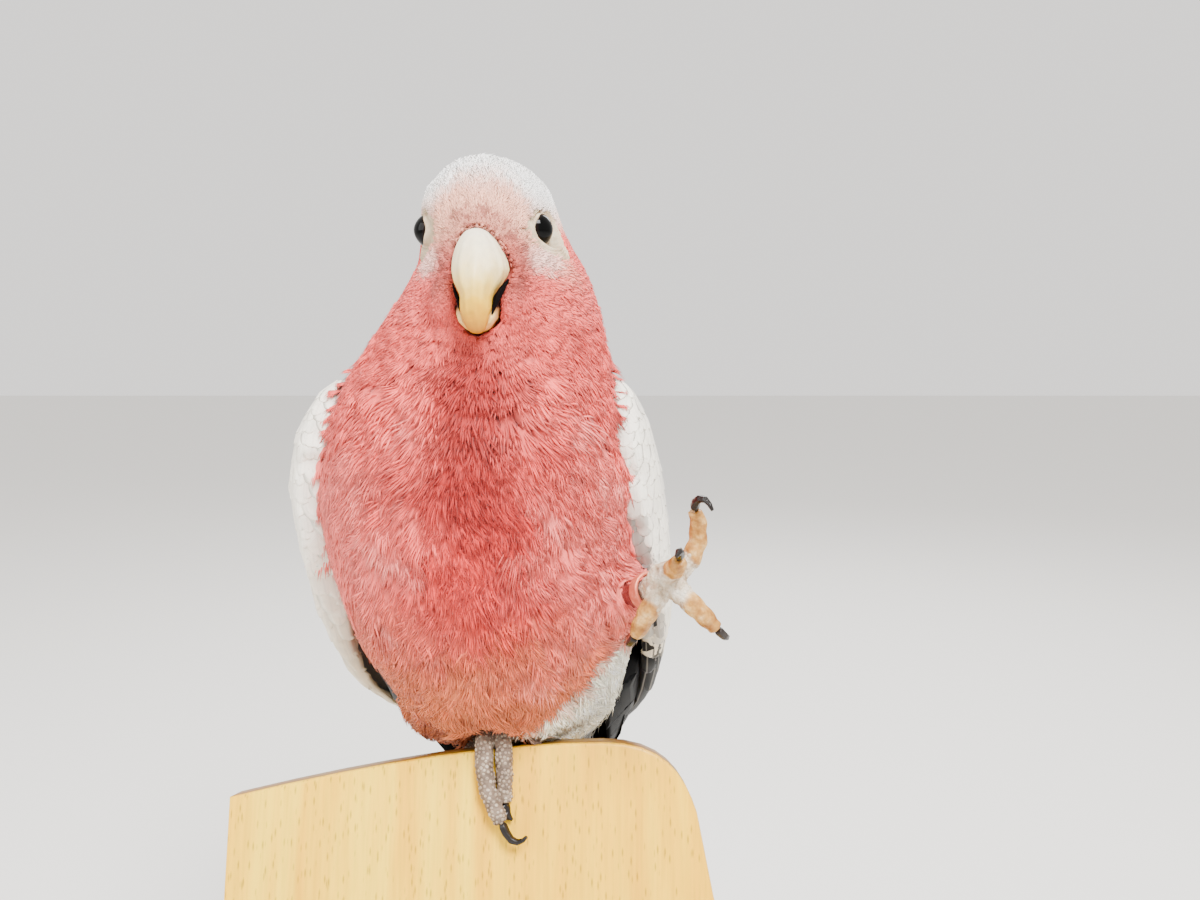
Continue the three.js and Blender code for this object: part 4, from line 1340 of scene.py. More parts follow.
def wing_colour(points, shares):
    """Linear colour on the folded wing."""
    level = bird_place(points)[:, 2]

    def towards(colour, name, amount):
        return colour + (rgb(WING_COLOURS[name]) - colour) * amount[:, None]

    # Painted light: the front edge's pale grey is brightened to near white.
    colour = towards(rgb(WING_COLOURS["front edge"]), "lower edge", step(70, 5, level))
    colour = towards(colour, "silver", step(0.16, 0.55, shares))
    grey = 0.6 * step(15, -30, level) * step(0.3, 0.8, shares)
    on_left = points[:, 0] > 0
    # Painted shade: on the bird's left a band of the front edge is painted deep grey beside the breast.
    left_edge_painted_shade = 0.75 * on_left * step(0.10, 0.06, shares) * step(76, 66, level)
    grey = np.maximum(grey, left_edge_painted_shade * step(26, 34, level))
    colour = towards(colour, "deep grey", grey)
    # On the bird's left the lower front takes the flight feathers' near black, which is partly painted
    # shade.
    return towards(colour, "flight", on_left * step(27, 22, level) * step(0.56, 0.42, shares))


print("wing colours:", len(WING_COLOURS))


# %% [markdown]
# ## Coverts and flight feathers
# Small coverts lie on the shoulder like roof tiles in staggered rows, and each row
# down has longer ones. Below them the long feathers reach the tip. A row is described
# by its level, feather length and half width in mm, and takes as many as fit across.
# Narrow rows of edge coverts round off the wing's front.

# %% Feather the wings
LONG_ROWS = [(34, 44, 6.2), (24, 62, 6.8), (12, 76, 7.0)]
EDGE_SHARE = 0.20  # share of the wing's width that edge coverts take up
COVERT_CURL = 0.38  # mm that a covert's tip stands off the wing


def covert_rows(level=105.0, length=10.0):
    """Rows from the shoulder down, each longer than the one above."""
    rows = []
    while level > LONG_ROWS[0][0]:
        rows.append((level, length, 0.36 * length))
        level -= 0.36 * length
        length += 0.75 if level > 62 else 1.9
    return rows


def edge_rows(level=107.0):
    """Short narrow rows down the wing's front edge."""
    rows = []
    while level > 20:
        length = 7.0 + 8.0 * (105 - level) / 60
        rows.append((level, length, 2.2 + 0.13 * length))
        level -= 0.40 * length
    return rows


def on_sheet(sheet, spine_levels, shares, pattern, halves, depths, rises, curls, tilt):
    """Vanes whose every corner keeps to the sheet, round its front edge too."""
    steps = spine_levels.shape[1] - 1
    along = np.clip(pattern[:, 0], 0, FURTHEST) * steps
    low = np.clip(along.astype(int), 0, steps - 1)
    part = (along - low)[None]
    level = spine_levels[:, low] * (1 - part) + spine_levels[:, low + 1] * part
    known = np.linspace(sheet.levels[-1], sheet.levels[0], 24)
    widths = np.interp(level, known, [sheet.width(one) for one in known])
    across = pattern[None, :, 1] * halves[:, None]
    share = shares[:, None] + across / widths
    place, normal = sheet.at(level, share)
    edge = unit(sheet.at(level, share + 0.02)[0] - sheet.at(level, share - 0.02)[0])
    beyond = (share - np.clip(share, 0, 1)) * widths
    u = np.clip(pattern[:, 0], 0, 1)[None]
    lift = pattern[None, :, 2] * rises[:, None] - rises[:, None]
    lift = lift - (1 - np.sqrt(np.clip(u / 0.45, 0, 1))) * depths[:, None]
    lift = lift + curls[:, None] * u ** 2 + tilt * across
    return place + edge * beyond[..., None] + normal * lift[..., None]


def feather_rows(name, side, rows, material, seed, columns, steps, overlap, last_share=1.0):
    """Rows of vanes laid down a wing, each row under the tips of the row above it."""
    random = np.random.default_rng(seed)
    sheet = wing_sheet[side]
    levels, shares, lengths, halves = [], [], [], []
    for number, (level, length, half) in enumerate(rows):
        width = sheet.width(level) / MM * last_share
        count = max(2, int(width / (half * overlap)))
        even = (np.arange(count) + (0.25 if number % 2 else 0.75)) / count
        levels += list(level + random.uniform(-0.05, 0.05, count) * length)
        share = np.clip(even + random.uniform(-0.1, 0.1, count) / count, 0.01, 0.99)
        shares += list(share * last_share)
        lengths += list(length * random.uniform(0.93, 1.06, count))
        halves += [half] * count
    levels, shares = np.array(levels), np.array(shares)
    lengths, halves = np.array(lengths) * MM, np.array(halves) * MM
    spines, outs = sheet_spines(sheet, levels, shares, lengths, steps)
    along = np.linspace(0, 1, steps + 1)[None]
    spine_levels = levels[:, None] - lengths[:, None] / MM * along * 0.9
    pattern, faces = vane_pattern(random, columns + 3, columns, 0.03, 4)
    corner_points = on_sheet(
        sheet, spine_levels, shares, pattern, halves, depths=0.12 * halves,
        rises=0.08 * halves, curls=np.full(len(halves), COVERT_CURL * MM), tilt=0.05,
    )
    base = wing_colour(spines[:, steps // 2], shares)
    # Painted shade: each vane darkens towards its edges, where it overlaps its neighbours.
    rim = 1 - 0.10 * np.abs(pattern[:, 1]) ** 3
    colours = shaded(base, pattern, random, 0.80, 1.04, 0.03, rim)
    sizes = np.stack([halves, lengths], 1)
    write_coat(
        name, corner_points, pattern, faces, spines[:, 0], outs[:, 0], colours, sizes,
        material,
    )


for seed, side in enumerate(SIDES):
    feather_rows(f"wing_long_feathers_{side}", side, LONG_ROWS, silver_vane, 50 + seed, 7, 8, 1.0)
    feather_rows(f"wing_coverts_{side}", side, covert_rows(), silver_vane, 60 + seed, 7, 4, 1.05)
    feather_rows(
        f"wing_edge_coverts_{side}", side, edge_rows(), silver_vane, 64 + seed, 5, 4, 0.95,
        EDGE_SHARE,
    )

# %% [markdown]
# ## Dark flight feathers and tail
# The primaries cross under the wing's tip and show black beside the flanks, a near black that is partly
# painted shade. The tail is twelve broad feathers in a shallow fan, with one middle feather on top and
# one under the rest. Each is one long vane on a measured sheet, a little lower than its neighbour, so
# that they slide past each other without touching.

# %% Feather the wing tips and the tail
LONG_STEPS = 10
PRIMARIES = 7
TAIL_FEATHERS = 12
TAIL_RAYS = 61


def long_feathers(name, sheet, shares, tops, tips, half, stack, colour_names, seed):
    """Long vanes down a sheet, each from its own level to its own tip."""
    random = np.random.default_rng(seed)
    count = len(shares)
    shares = np.array(shares, float)
    spots, outs = [], []
    for part in np.linspace(0, 1, LONG_STEPS + 1):
        spot, out = sheet.at(tops + (tips - tops) * part, shares)
        spots.append(spot)
        outs.append(out)
    outs = np.stack(outs, 1)
    spines = np.stack(spots, 1) - outs * (stack * np.arange(count))[:, None, None] * MM
    ways = unit(np.gradient(spines, axis=1))
    lengths = np.linalg.norm(np.diff(spines, axis=1), axis=2).sum(axis=1)
    pattern, faces = vane_pattern(random, 16, 7, 0.02, 7)
    halves = np.full(count, half * MM)
    corner_points = bend(
        pattern, spines, ways, outs, widths=halves, depths=0.05 * halves,
        rises=0.10 * halves, curls=np.zeros(count),
    )
    base, end = [rgb(WING_COLOURS[key]) for key in colour_names]
    along = np.clip(pattern[:, 0], 0, 1)[None, :, None]
    colours = base + (end - base) * step(0.25, 0.8, along)
    colours = np.tile(colours, (count, 1, 1)) * (1 + 0.06 * random.normal(size=(count, 1, 1)))
    sizes = np.stack([halves, lengths], 1)
    write_coat(
        name, corner_points, pattern, faces, spines[:, 0], outs[:, 0],
        np.clip(colours, 0, 1), sizes, dark_vane,
    )


for side in SIDES:
    long_feathers(
        f"primaries_vanes_{side}", flight_sheet[side], np.linspace(0.06, 0.94, PRIMARIES),
        np.full(PRIMARIES, 22.0), np.linspace(-58, -86, PRIMARIES), 6.4, 0.3,
        ("flight", "flight"), 70,
    )


def over_the_tail(level):
    """Rays from behind towards the tail's upper face."""
    low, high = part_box("tail")
    across = np.linspace(low.x - 2 * MM, high.x + 2 * MM, TAIL_RAYS)
    height = np.full(TAIL_RAYS, (level + GRIP_EDGE[2]) * MM)
    origins = np.stack([across, np.full(TAIL_RAYS, 0.3), height], 1)
    return origins, np.tile((0.0, -1.0, 0.0), (TAIL_RAYS, 1))


tail_sheet = Sheet(measuring("tail_solid", ["tail"]), np.arange(-20, -128, -6), over_the_tail)
TAIL_SHARES = [0.5, 0.42, 0.58, 0.34, 0.66, 0.26, 0.74, 0.18, 0.82, 0.10, 0.90, 0.5]
fan = np.abs(np.array(TAIL_SHARES) - 0.5)
long_feathers(
    "tail_vanes", tail_sheet, TAIL_SHARES, np.full(TAIL_FEATHERS, -14.0), -129.0 + 16 * fan,
    9.5, 0.28, ("deep grey", "tail"), 80,
)

# %% [markdown]
# ## Grey back and rump
# Between the wings the back has smooth rounded feathers, less parted than those of
# the breast. They are vanes too, scattered and walked along the form like the soft
# ones, and they end under the wings' inner edges.

# %% Feather the back
BACK_SPACING = 4.2
roots, normals = scatter(
    form, lambda p: np.full(len(p), BACK_SPACING * MM), lambda p: is_back(p) & off_wing(p), seed=12
)
random = np.random.default_rng(90)
lengths = random.uniform(13, 17, len(roots)) * MM
halves = 0.36 * lengths
spines, ways, outs = walk(roots, normals, lengths, lie)
pattern, faces = vane_pattern(random, 9, 7, 0.06, 4)
corner_points = bend(
    pattern, spines, ways, outs, widths=halves, depths=np.full(len(roots), 3.0 * MM),
    rises=0.16 * halves, curls=np.full(len(roots), 0.3 * MM),
)
colours = shaded(markings(roots), pattern, random, 0.78, 1.05, 0.03)
write_coat(
    "back_feathers", corner_points, pattern, faces, roots, normals, colours,
    np.stack([halves, lengths], 1), silver_vane,
)

# %% [markdown]
# ## Skin finish
# Under the coat the skin carries the same markings, darkened to four fifths as painted shade in the
# partings, and it is grey under the wings' feathers. The bare ring round the eye is thin, matt, creamy
# skin with pores.

# %% Finish the skin
skin_colour = markings(skin_points)
_, _, body_gap = body_surface.nearest(form.points)
on_wing = step(-0.3, 0.6, (body_gap - wing_distance(form.points)) / MM)[:, None]
# Painted shade: the skin's markings are darkened to four fifths for the partings between feathers.
skin_colour = skin_colour * 0.8 * (1 - on_wing) + rgb("#a5a09a") * on_wing
marking = skin.data.color_attributes.new("marking", "FLOAT_COLOR", "POINT")
rgba = np.concatenate([skin_colour, np.ones((len(skin_colour), 1))], axis=1)
marking.data.foreach_set("color", rgba.astype(np.float32).ravel())
skin.data.materials.append(barb_material)


def bare_skin(tree, place):
    """Thin creamy skin, matt, with pores and a hint of pink."""
    pores = add_node(tree, "ShaderNodeTexVoronoi", {"Vector": place, "Scale": 1 / (0.45 * MM)})
    blush = add_node(tree, "ShaderNodeTexNoise", {
        "Vector": place, "Scale": 1 / (3.5 * MM), "Detail": 3.0,
    })
    tone = add_node(tree, "ShaderNodeValToRGB", {"Fac": blush}, stops=[
        (0.30, "#a68d70"), (0.55, "#c9b496"), (0.75, "#d9c6aa"),
    ])
    bump = add_node(tree, "ShaderNodeBump", {
        "Height": pores, "Strength": 0.3, "Distance": 0.08 * MM,
    })
    return add_node(tree, "ShaderNodeBsdfPrincipled", {
        "Base Color": tone, "Roughness": 0.55, "Normal": bump,
        "Subsurface Weight": 0.15, "Subsurface Radius": (0.002, 0.001, 0.0006), "Subsurface Scale": 0.5,
        "IOR": 1.4, "Specular IOR Level": 0.4,
    })


ring_material = new_material("bare_eye_skin", bare_skin)
for ring in eye_rings:
    ring.data.materials.append(ring_material)
    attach(ring, "root")
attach(skin, "root")
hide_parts(*FLESH)
for side in SIDES:
    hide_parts(f"primaries_{side}")
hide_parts("tail")

# %% [markdown]
# ## Eyes
# The eye is a wet dark ball. The iris is so dark a brown that it nearly joins the
# pupil. A very smooth surface stands for the wet cornea and gives a sharp highlight.
# The ball bulges a little at its pole, which is turned to face out.

# %% Make the eyes
EYE_RINGS = 40
EYE_SIDES = 64
EYE_SHARE = 0.985  # of the CAD eyeball's radius, which leaves room under the lids
CORNEA_BULGE = 0.035


def wet_eye(tree, _):
    """Black pupil and dark brown iris with a wet gloss."""
    reach = add_node(tree, "ShaderNodeAttribute", attribute_name="from_pupil")
    tone = add_node(tree, "ShaderNodeValToRGB", {"Fac": reach.outputs["Fac"]}, stops=[
        (0.0, "#010101"), (0.50, "#020202"), (0.56, "#0d0705"),
        (0.72, "#1d100b"), (0.82, "#080504"), (1.0, "#0c0806"),
    ])
    return add_node(tree, "ShaderNodeBsdfPrincipled", {
        "Base Color": tone, "Roughness": 0.05, "IOR": 1.38, "Specular IOR Level": 0.16,
    })


def ball_faces(rings, sides):
    """Triangles of a ball: a front pole, rings of points, and a back pole."""
    last = (rings - 1) * sides + 1
    faces = []
    for k in range(sides):
        after = (k + 1) % sides
        faces.append((0, 1 + after, 1 + k))
        faces.append((last, last - sides + k, last - sides + after))
        for ring in range(rings - 2):
            a, b = 1 + ring * sides + k, 1 + ring * sides + after
            faces += [(a, b, b + sides), (a, b + sides, a + sides)]
    return np.array(faces)


def eyeball(name, eye):
    """A ball with its pole facing out and each point's angle from the pupil."""
    polar = np.linspace(0, math.pi, EYE_RINGS + 1)[1:-1]
    turn = np.linspace(0, 2 * math.pi, EYE_SIDES, endpoint=False)
    bulge = 1.0 + CORNEA_BULGE * step(0.75, 0.0, polar)
    third = np.cross(eye["axis"], UP)
    circle = np.cos(turn)[:, None] * third + np.sin(turn)[:, None] * UP
    shell = [eye["axis"] * math.cos(p) * b + math.sin(p) * circle for p, b in zip(polar, bulge)]
    points = np.concatenate([[eye["axis"] * bulge[0]], np.concatenate(shell), [-eye["axis"]]])
    points = points * (eye["radius"] * EYE_SHARE) + eye["centre"]
    ball = mesh_object(name, points, ball_faces(EYE_RINGS, EYE_SIDES))
    reach = np.concatenate([[0], np.repeat(polar / (math.pi / 2), EYE_SIDES), [2]])
    point_value(ball, "from_pupil", reach)
    return ball


eye_material = new_material("wet_dark_eye", wet_eye)
for side, eye in eyes.items():
    ball = eyeball(f"eyeball_{side}", eye)
    ball.data.materials.append(eye_material)
    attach(ball, "root")
    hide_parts(f"eye_{side}")
eye_gap = np.linalg.norm(eyes["left"]["centre"] - eyes["right"]["centre"])
print("eyes set", round(eye_gap / MM, 1), "mm apart")

# %% [markdown]
# ## Bill
# The bill is a thick shell of horn, bone white where it grows and worn to a yellow
# tip. The CAD bill is melted to a fine mesh and softened, then given what growth
# leaves on it: faint ridges that run down it, and shallow flakes near the edges. The
# upper bill is also pinched in a little where it narrows to its tip.

# %% Make the bill
def grown(name, nodes, voxel, rounds, swell):
    """A fine soft copy of CAD solids, swollen a little to undo the softening."""
    obj = fused(name, nodes, voxel, rounds)
    normals = point_normals(obj.data)
    points = points_of(obj.data) + normals * swell * MM
    move_points(obj, points)
    return obj, points, normals


def horn(tree, place, stops, low, high, roughness):
    """Satin horn with a colour run between two heights and thin growth streaks."""
    part = add_node(tree, "ShaderNodeSeparateXYZ", {"Vector": place})
    streak_map = add_node(tree, "ShaderNodeMapping", {"Vector": place, "Scale": (900, 500, 130)})
    streaks = add_node(tree, "ShaderNodeTexNoise", {
        "Vector": streak_map, "Scale": 1.0, "Detail": 5.0,
    })
    clouds = add_node(tree, "ShaderNodeTexNoise", {"Vector": place, "Scale": 260.0, "Detail": 4.0})
    height = add_node(tree, "ShaderNodeMapRange", {
        "Value": part.outputs["Z"], "From Min": low, "From Max": high,
    })
    shift = add_node(tree, "ShaderNodeMath", {
        0: clouds, 1: 0.22, 2: -0.11,
    }, operation="MULTIPLY_ADD")
    run = add_node(tree, "ShaderNodeMath", {0: height, 1: shift}, operation="ADD")
    tone = add_node(tree, "ShaderNodeValToRGB", {"Fac": run}, stops=stops)
    value = add_node(tree, "ShaderNodeMapRange", {
        "Value": streaks, "From Min": 0.3, "From Max": 0.7, "To Min": 0.90, "To Max": 1.05,
    })
    streaked = add_node(tree, "ShaderNodeHueSaturation", {"Color": tone, "Value": value})
    rough = add_node(tree, "ShaderNodeMapRange", {
        "Value": clouds, "From Min": 0.3, "From Max": 0.7,
        "To Min": roughness - 0.08, "To Max": roughness + 0.12,
    })
    bump = add_node(tree, "ShaderNodeBump", {
        "Height": streaks, "Strength": 0.35, "Distance": 0.12 * MM,
    })
    return add_node(tree, "ShaderNodeBsdfPrincipled", {
        "Base Color": streaked, "Roughness": rough, "Normal": bump,
        "IOR": 1.55, "Specular IOR Level": 0.3, "Subsurface Weight": 0.04,
        "Subsurface Radius": (0.002, 0.0015, 0.001), "Subsurface Scale": 0.3,
    })


def weathered(points, normals, pinched):
    """The bill's points with growth ridges, edge flakes and a pinch above the tip."""
    spot = bird_place(points)
    x, y, z = spot.T
    turn = np.arctan2(x - 0.6, -(y + 20))
    ridges = RIDGE_HEIGHT * np.sin(turn * 17 + 0.35 * np.sin(z * 0.8)) * step(-12, -20, y)
    flakes = FLAKE_DEPTH * step(0.35, 0.6, patches(spot, 1.7)) * step(134, 122, z)
    points = points + normals * ((ridges - flakes) * MM)[:, None]
    pinch = PINCH_SHARE * np.exp(-((z - PINCH_HEIGHT) / 2.8) ** 2) + TIP_SHARE * step(128, 123, z)
    points[:, 0] -= (x - 0.9) * MM * pinch * pinched
    return points


RIDGE_HEIGHT = 0.05
FLAKE_DEPTH = 0.09
PINCH_SHARE = 0.15  # share of its half width that the upper bill loses at the pinch
PINCH_HEIGHT = 129.3
TIP_SHARE = 0.07  # share that it loses at its tip
low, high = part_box("bill_upper")
upper_horn = new_material("worn_upper_horn", horn, [
    (0.0, "#b87000"), (0.14, "#d09200"), (0.30, "#e2b128"),
    (0.46, "#efcd70"), (0.66, "#f5e1b0"), (1.0, "#f6eed6"),
], low.z, high.z, 0.36)
low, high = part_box("bill_lower")
# Painted shade: the lower bill's upper part, tucked under the upper bill's edge, runs to near black.
lower_horn = new_material("lower_horn_with_painted_shade_under_upper_bill", horn, [
    (0.0, "#dca445"), (0.36, "#e8c078"), (0.52, "#a87b48"), (0.60, "#1d120e"), (1.0, "#090605"),
], low.z, high.z, 0.40)

for half, finish in (("upper", upper_horn), ("lower", lower_horn)):
    bill, points, normals = grown(f"{half}_bill", [f"bill_{half}"], 0.4, 9, 0.22)
    move_points(bill, weathered(points, normals, half == "upper"))
    bill.data.materials.append(finish)
    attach(bill, "root")
    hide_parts(f"bill_{half}")
    print(bill.name, len(bill.data.polygons), "faces")

# %% [markdown]
# ## Painted shade beside the bill
# Between the upper bill's edge and the cheek the bill stands a little open, and the gap lies in deep
# shade. Each side gets a strip of painted shade: a flattened tube along the bill's edge, widest in its
# middle and wider on the bird's left than on its right, matt and nearly black.

# %% Strips of painted shade beside the bill
# Each strip of painted shade runs through places in mm from the gripped edge, with a half width.
BILL_SHADE_STRIPS = {
    "left": [
        (8.7, -24.0, 134.0, 0.30), (7.5, -26.4, 131.8, 0.75), (6.3, -28.0, 129.4, 0.90),
        (5.5, -29.4, 126.8, 0.55), (5.0, -30.2, 124.8, 0.22),
    ],
    "right": [
        (-5.8, -25.6, 132.8, 0.18), (-4.8, -27.6, 130.4, 0.45),
        (-4.0, -28.8, 128.6, 0.48), (-3.3, -30.0, 125.6, 0.22),
    ],
}
BILL_SHADE_SIDES = 14
BILL_SHADE_RINGS = 18


def bill_shade_strip(name, rows):
    """Closed flattened tube through points with a half width each, in mm."""
    rows = np.array(rows)
    part = np.linspace(0, len(rows) - 1, BILL_SHADE_RINGS)
    path = np.stack([np.interp(part, np.arange(len(rows)), rows[:, k]) for k in range(4)], 1)
    middle = (path[:, :3] + GRIP_EDGE) * MM
    way = unit(np.gradient(middle, axis=0))
    side = unit(np.cross(way, (0.0, -1.0, 0.0)))
    deep = np.cross(side, way)
    turns = np.linspace(0, 2 * math.pi, BILL_SHADE_SIDES, endpoint=False)
    rings = [
        m + MM * w * (np.cos(turns)[:, None] * s + 1.3 * np.sin(turns)[:, None] * d)
        for m, w, s, d in zip(middle, path[:, 3], side, deep)
    ]
    points = np.concatenate(rings + [middle[:1], middle[-1:]])
    faces = []
    last = (BILL_SHADE_RINGS - 1) * BILL_SHADE_SIDES
    for k in range(BILL_SHADE_SIDES):
        after = (k + 1) % BILL_SHADE_SIDES
        for ring in range(BILL_SHADE_RINGS - 1):
            a, b = ring * BILL_SHADE_SIDES + k, ring * BILL_SHADE_SIDES + after
            faces += [(a, b, b + BILL_SHADE_SIDES), (a, b + BILL_SHADE_SIDES, a + BILL_SHADE_SIDES)]
        faces += [(len(points) - 2, after, k), (len(points) - 1, last + k, last + after)]
    piece = mesh_object(name, points, np.array(faces))
    outward = bmesh.new()
    outward.from_mesh(piece.data)
    bmesh.ops.recalc_face_normals(outward, faces=outward.faces)
    outward.to_mesh(piece.data)
    outward.free()
    return piece


def bill_shade_finish(tree, place):
    """Matt, nearly black painted shade with a faint wine tint."""
    clouds = add_node(tree, "ShaderNodeTexNoise", {"Vector": place, "Scale": 900.0, "Detail": 3.0})
    tone = add_node(tree, "ShaderNodeValToRGB", {"Fac": clouds}, stops=[
        (0.35, "#020101"), (0.65, "#0c0506"),
    ])
    return add_node(tree, "ShaderNodeBsdfPrincipled", {
        "Base Color": tone, "Roughness": 0.85, "Specular IOR Level": 0.06,
    })


bill_shade_material = new_material("painted_shade_beside_bill", bill_shade_finish)
for side, rows in BILL_SHADE_STRIPS.items():
    bill_shade_piece = bill_shade_strip(f"bill_shade_strip_{side}", rows)
    bill_shade_piece.data.materials.append(bill_shade_material)
    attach(bill_shade_piece, "root")
print("strips of painted shade:", len(BILL_SHADE_STRIPS))

# %% [markdown]
# ## Feet
# Parrot feet have two toes forward and two back, in loose dry skin. Each foot is melted to a fine mesh,
# then creased in rings round the ball of the foot, where the toes bend. The raised foot shows a soft
# golden sole with paler scaly skin at the ball and shank, and the standing foot is brown and scaly all
# over. Above the leg ring the shank takes a dark red, which stands for the down there and for painted
# shade inside the ring.

# %% Foot skin and creases
BALL = {"left": (50.6, -31.5, 55.0), "right": (1.7, -0.5, 1.4)}
CREASE_PITCH = 4.4
CREASE_DEPTH = {"left": 0.32, "right": 0.22}
FINE_CREASE = 0.10
FINE_PITCH = 1.1
SOLE_TONES = ("#935a18", "#c08a40", "#dfb87a")
SHANK_TONES = ("#a58a6c", "#cdb99f", "#e8dccb")
TOE_TONES = ("#5d4c3f", "#7a6655", "#96826f")
SCALE_TONES = ("#8a7665", "#a8957f", "#cfc0ae")


def foot_skin(tree, place, colours, scaly_colours, scale_size, roughness):
    """Dry leathery foot skin, pebbled, in other colours where it is scaly."""
    scaly = add_node(tree, "ShaderNodeAttribute", attribute_name="scaly")
    down_and_ring_shade = add_node(tree, "ShaderNodeAttribute", attribute_name="down_and_ring_shade")
    pebbles = add_node(tree, "ShaderNodeTexVoronoi", {
        "Vector": place, "Scale": 1 / (scale_size * MM),
    })
    clouds = add_node(tree, "ShaderNodeTexNoise", {"Vector": place, "Scale": 330.0, "Detail": 5.0})
    soft, hard = [
        add_node(tree, "ShaderNodeValToRGB", {"Fac": clouds}, stops=[
            (0.32, three[0]), (0.52, three[1]), (0.70, three[2]),
        ])
        for three in (colours, scaly_colours)
    ]
    tone = add_node(tree, "ShaderNodeMix", {
        "Factor": scaly.outputs["Fac"], 6: soft, 7: hard,
    }, data_type="RGBA")
    # Above the ring a dark red stands for the down there and for painted shade inside the ring.
    tone = add_node(tree, "ShaderNodeMix", {
        "Factor": down_and_ring_shade.outputs["Fac"], 6: tone.outputs[2], 7: linear("#8c342f"),
    }, data_type="RGBA")
    value = add_node(tree, "ShaderNodeMapRange", {
        "Value": pebbles, "From Min": 0.0, "From Max": 0.8, "To Min": 1.06, "To Max": 0.80,
    })
    pebbled = add_node(tree, "ShaderNodeHueSaturation", {
        "Color": tone.outputs[2], "Value": value,
    })
    bump = add_node(tree, "ShaderNodeBump", {
        "Height": pebbles, "Strength": 0.6, "Distance": 0.15 * MM,
    }, invert=True)
    return add_node(tree, "ShaderNodeBsdfPrincipled", {
        "Base Color": pebbled, "Roughness": roughness, "Normal": bump, "IOR": 1.45,
        "Subsurface Weight": 0.08, "Subsurface Radius": (0.002, 0.001, 0.0006),
        "Subsurface Scale": 0.4,
    })


def creased(points, normals, reach, side):
    """The foot's points with creases in rings round its ball."""
    wave = np.abs(np.cos(math.pi * (reach - 1.5) / CREASE_PITCH))
    crease = (wave - 1) * step(4.5, 7, reach) * CREASE_DEPTH[side]
    fine = FINE_CREASE * np.sin(2 * math.pi * reach / FINE_PITCH) * step(5, 8, reach)
    fine = fine * (side == "right")
    return points + normals * ((crease + fine) * MM)[:, None]


sole_skin = new_material("soft_sole_skin", foot_skin, SOLE_TONES, SHANK_TONES, 0.7, 0.5)
dry_skin = new_material("dry_foot_skin", foot_skin, TOE_TONES, TOE_TONES, 0.6, 0.7)
pale_scale = new_material("pale_scale_horn", foot_skin, SHANK_TONES, SHANK_TONES, 0.4, 0.5)
brown_scale = new_material("brown_scale_horn", foot_skin, SCALE_TONES, SCALE_TONES, 0.4, 0.5)

band_place = bird_place(np.array(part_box("leg_ring")).mean(axis=0))
RING_REACH = np.linalg.norm(band_place - np.array(BALL["left"]))
feet = {}
for side in SIDES:
    foot, points, normals = grown(f"foot_{side}", [f"leg_{side}"], 0.36, 4, 0.30)
    reach = np.linalg.norm(bird_place(points) - np.array(BALL[side]), axis=1)
    points = creased(points, normals, reach, side)
    move_points(foot, points)
    spot = bird_place(points)
    up_the_shank = step(4, 7, spot[:, 1] - BALL[side][1])
    scaly = np.maximum(step(10.5, 8.0, reach + 1.5 * patches(spot, 3.0)), up_the_shank)
    if side == "right":
        scaly = np.ones(len(points))
    # Painted shade: up the shank past the ring the skin takes a dark red, partly the down's colour and
    # partly shade inside the ring.
    down_and_ring_shade = up_the_shank * step(RING_REACH - 0.5, RING_REACH + 0.5, reach) * (side == "left")
    point_value(foot, "scaly", scaly)
    point_value(foot, "down_and_ring_shade", down_and_ring_shade)
    foot.data.materials.append(sole_skin if side == "left" else dry_skin)
    feet[side] = foot
print("feet:", [len(foot.data.vertices) for foot in feet.values()], "points")

# %% [markdown]
# ## Scales on the feet
# A parrot's foot scales are low round plates, about a millimetre across, that sit
# side by side. Geometry Nodes scatter them over the scaly skin as flattened balls,
# aligned to it, and stop where the soft pads of the sole begin. The spacing and the
# radius are inputs, so each foot has its own.

# %% Scales by geometry nodes
# For each foot: its scales' finish, and their spacing and radius in mm.
SCALES = {"left": (pale_scale, 1.0, 0.60), "right": (brown_scale, 0.95, 0.50)}


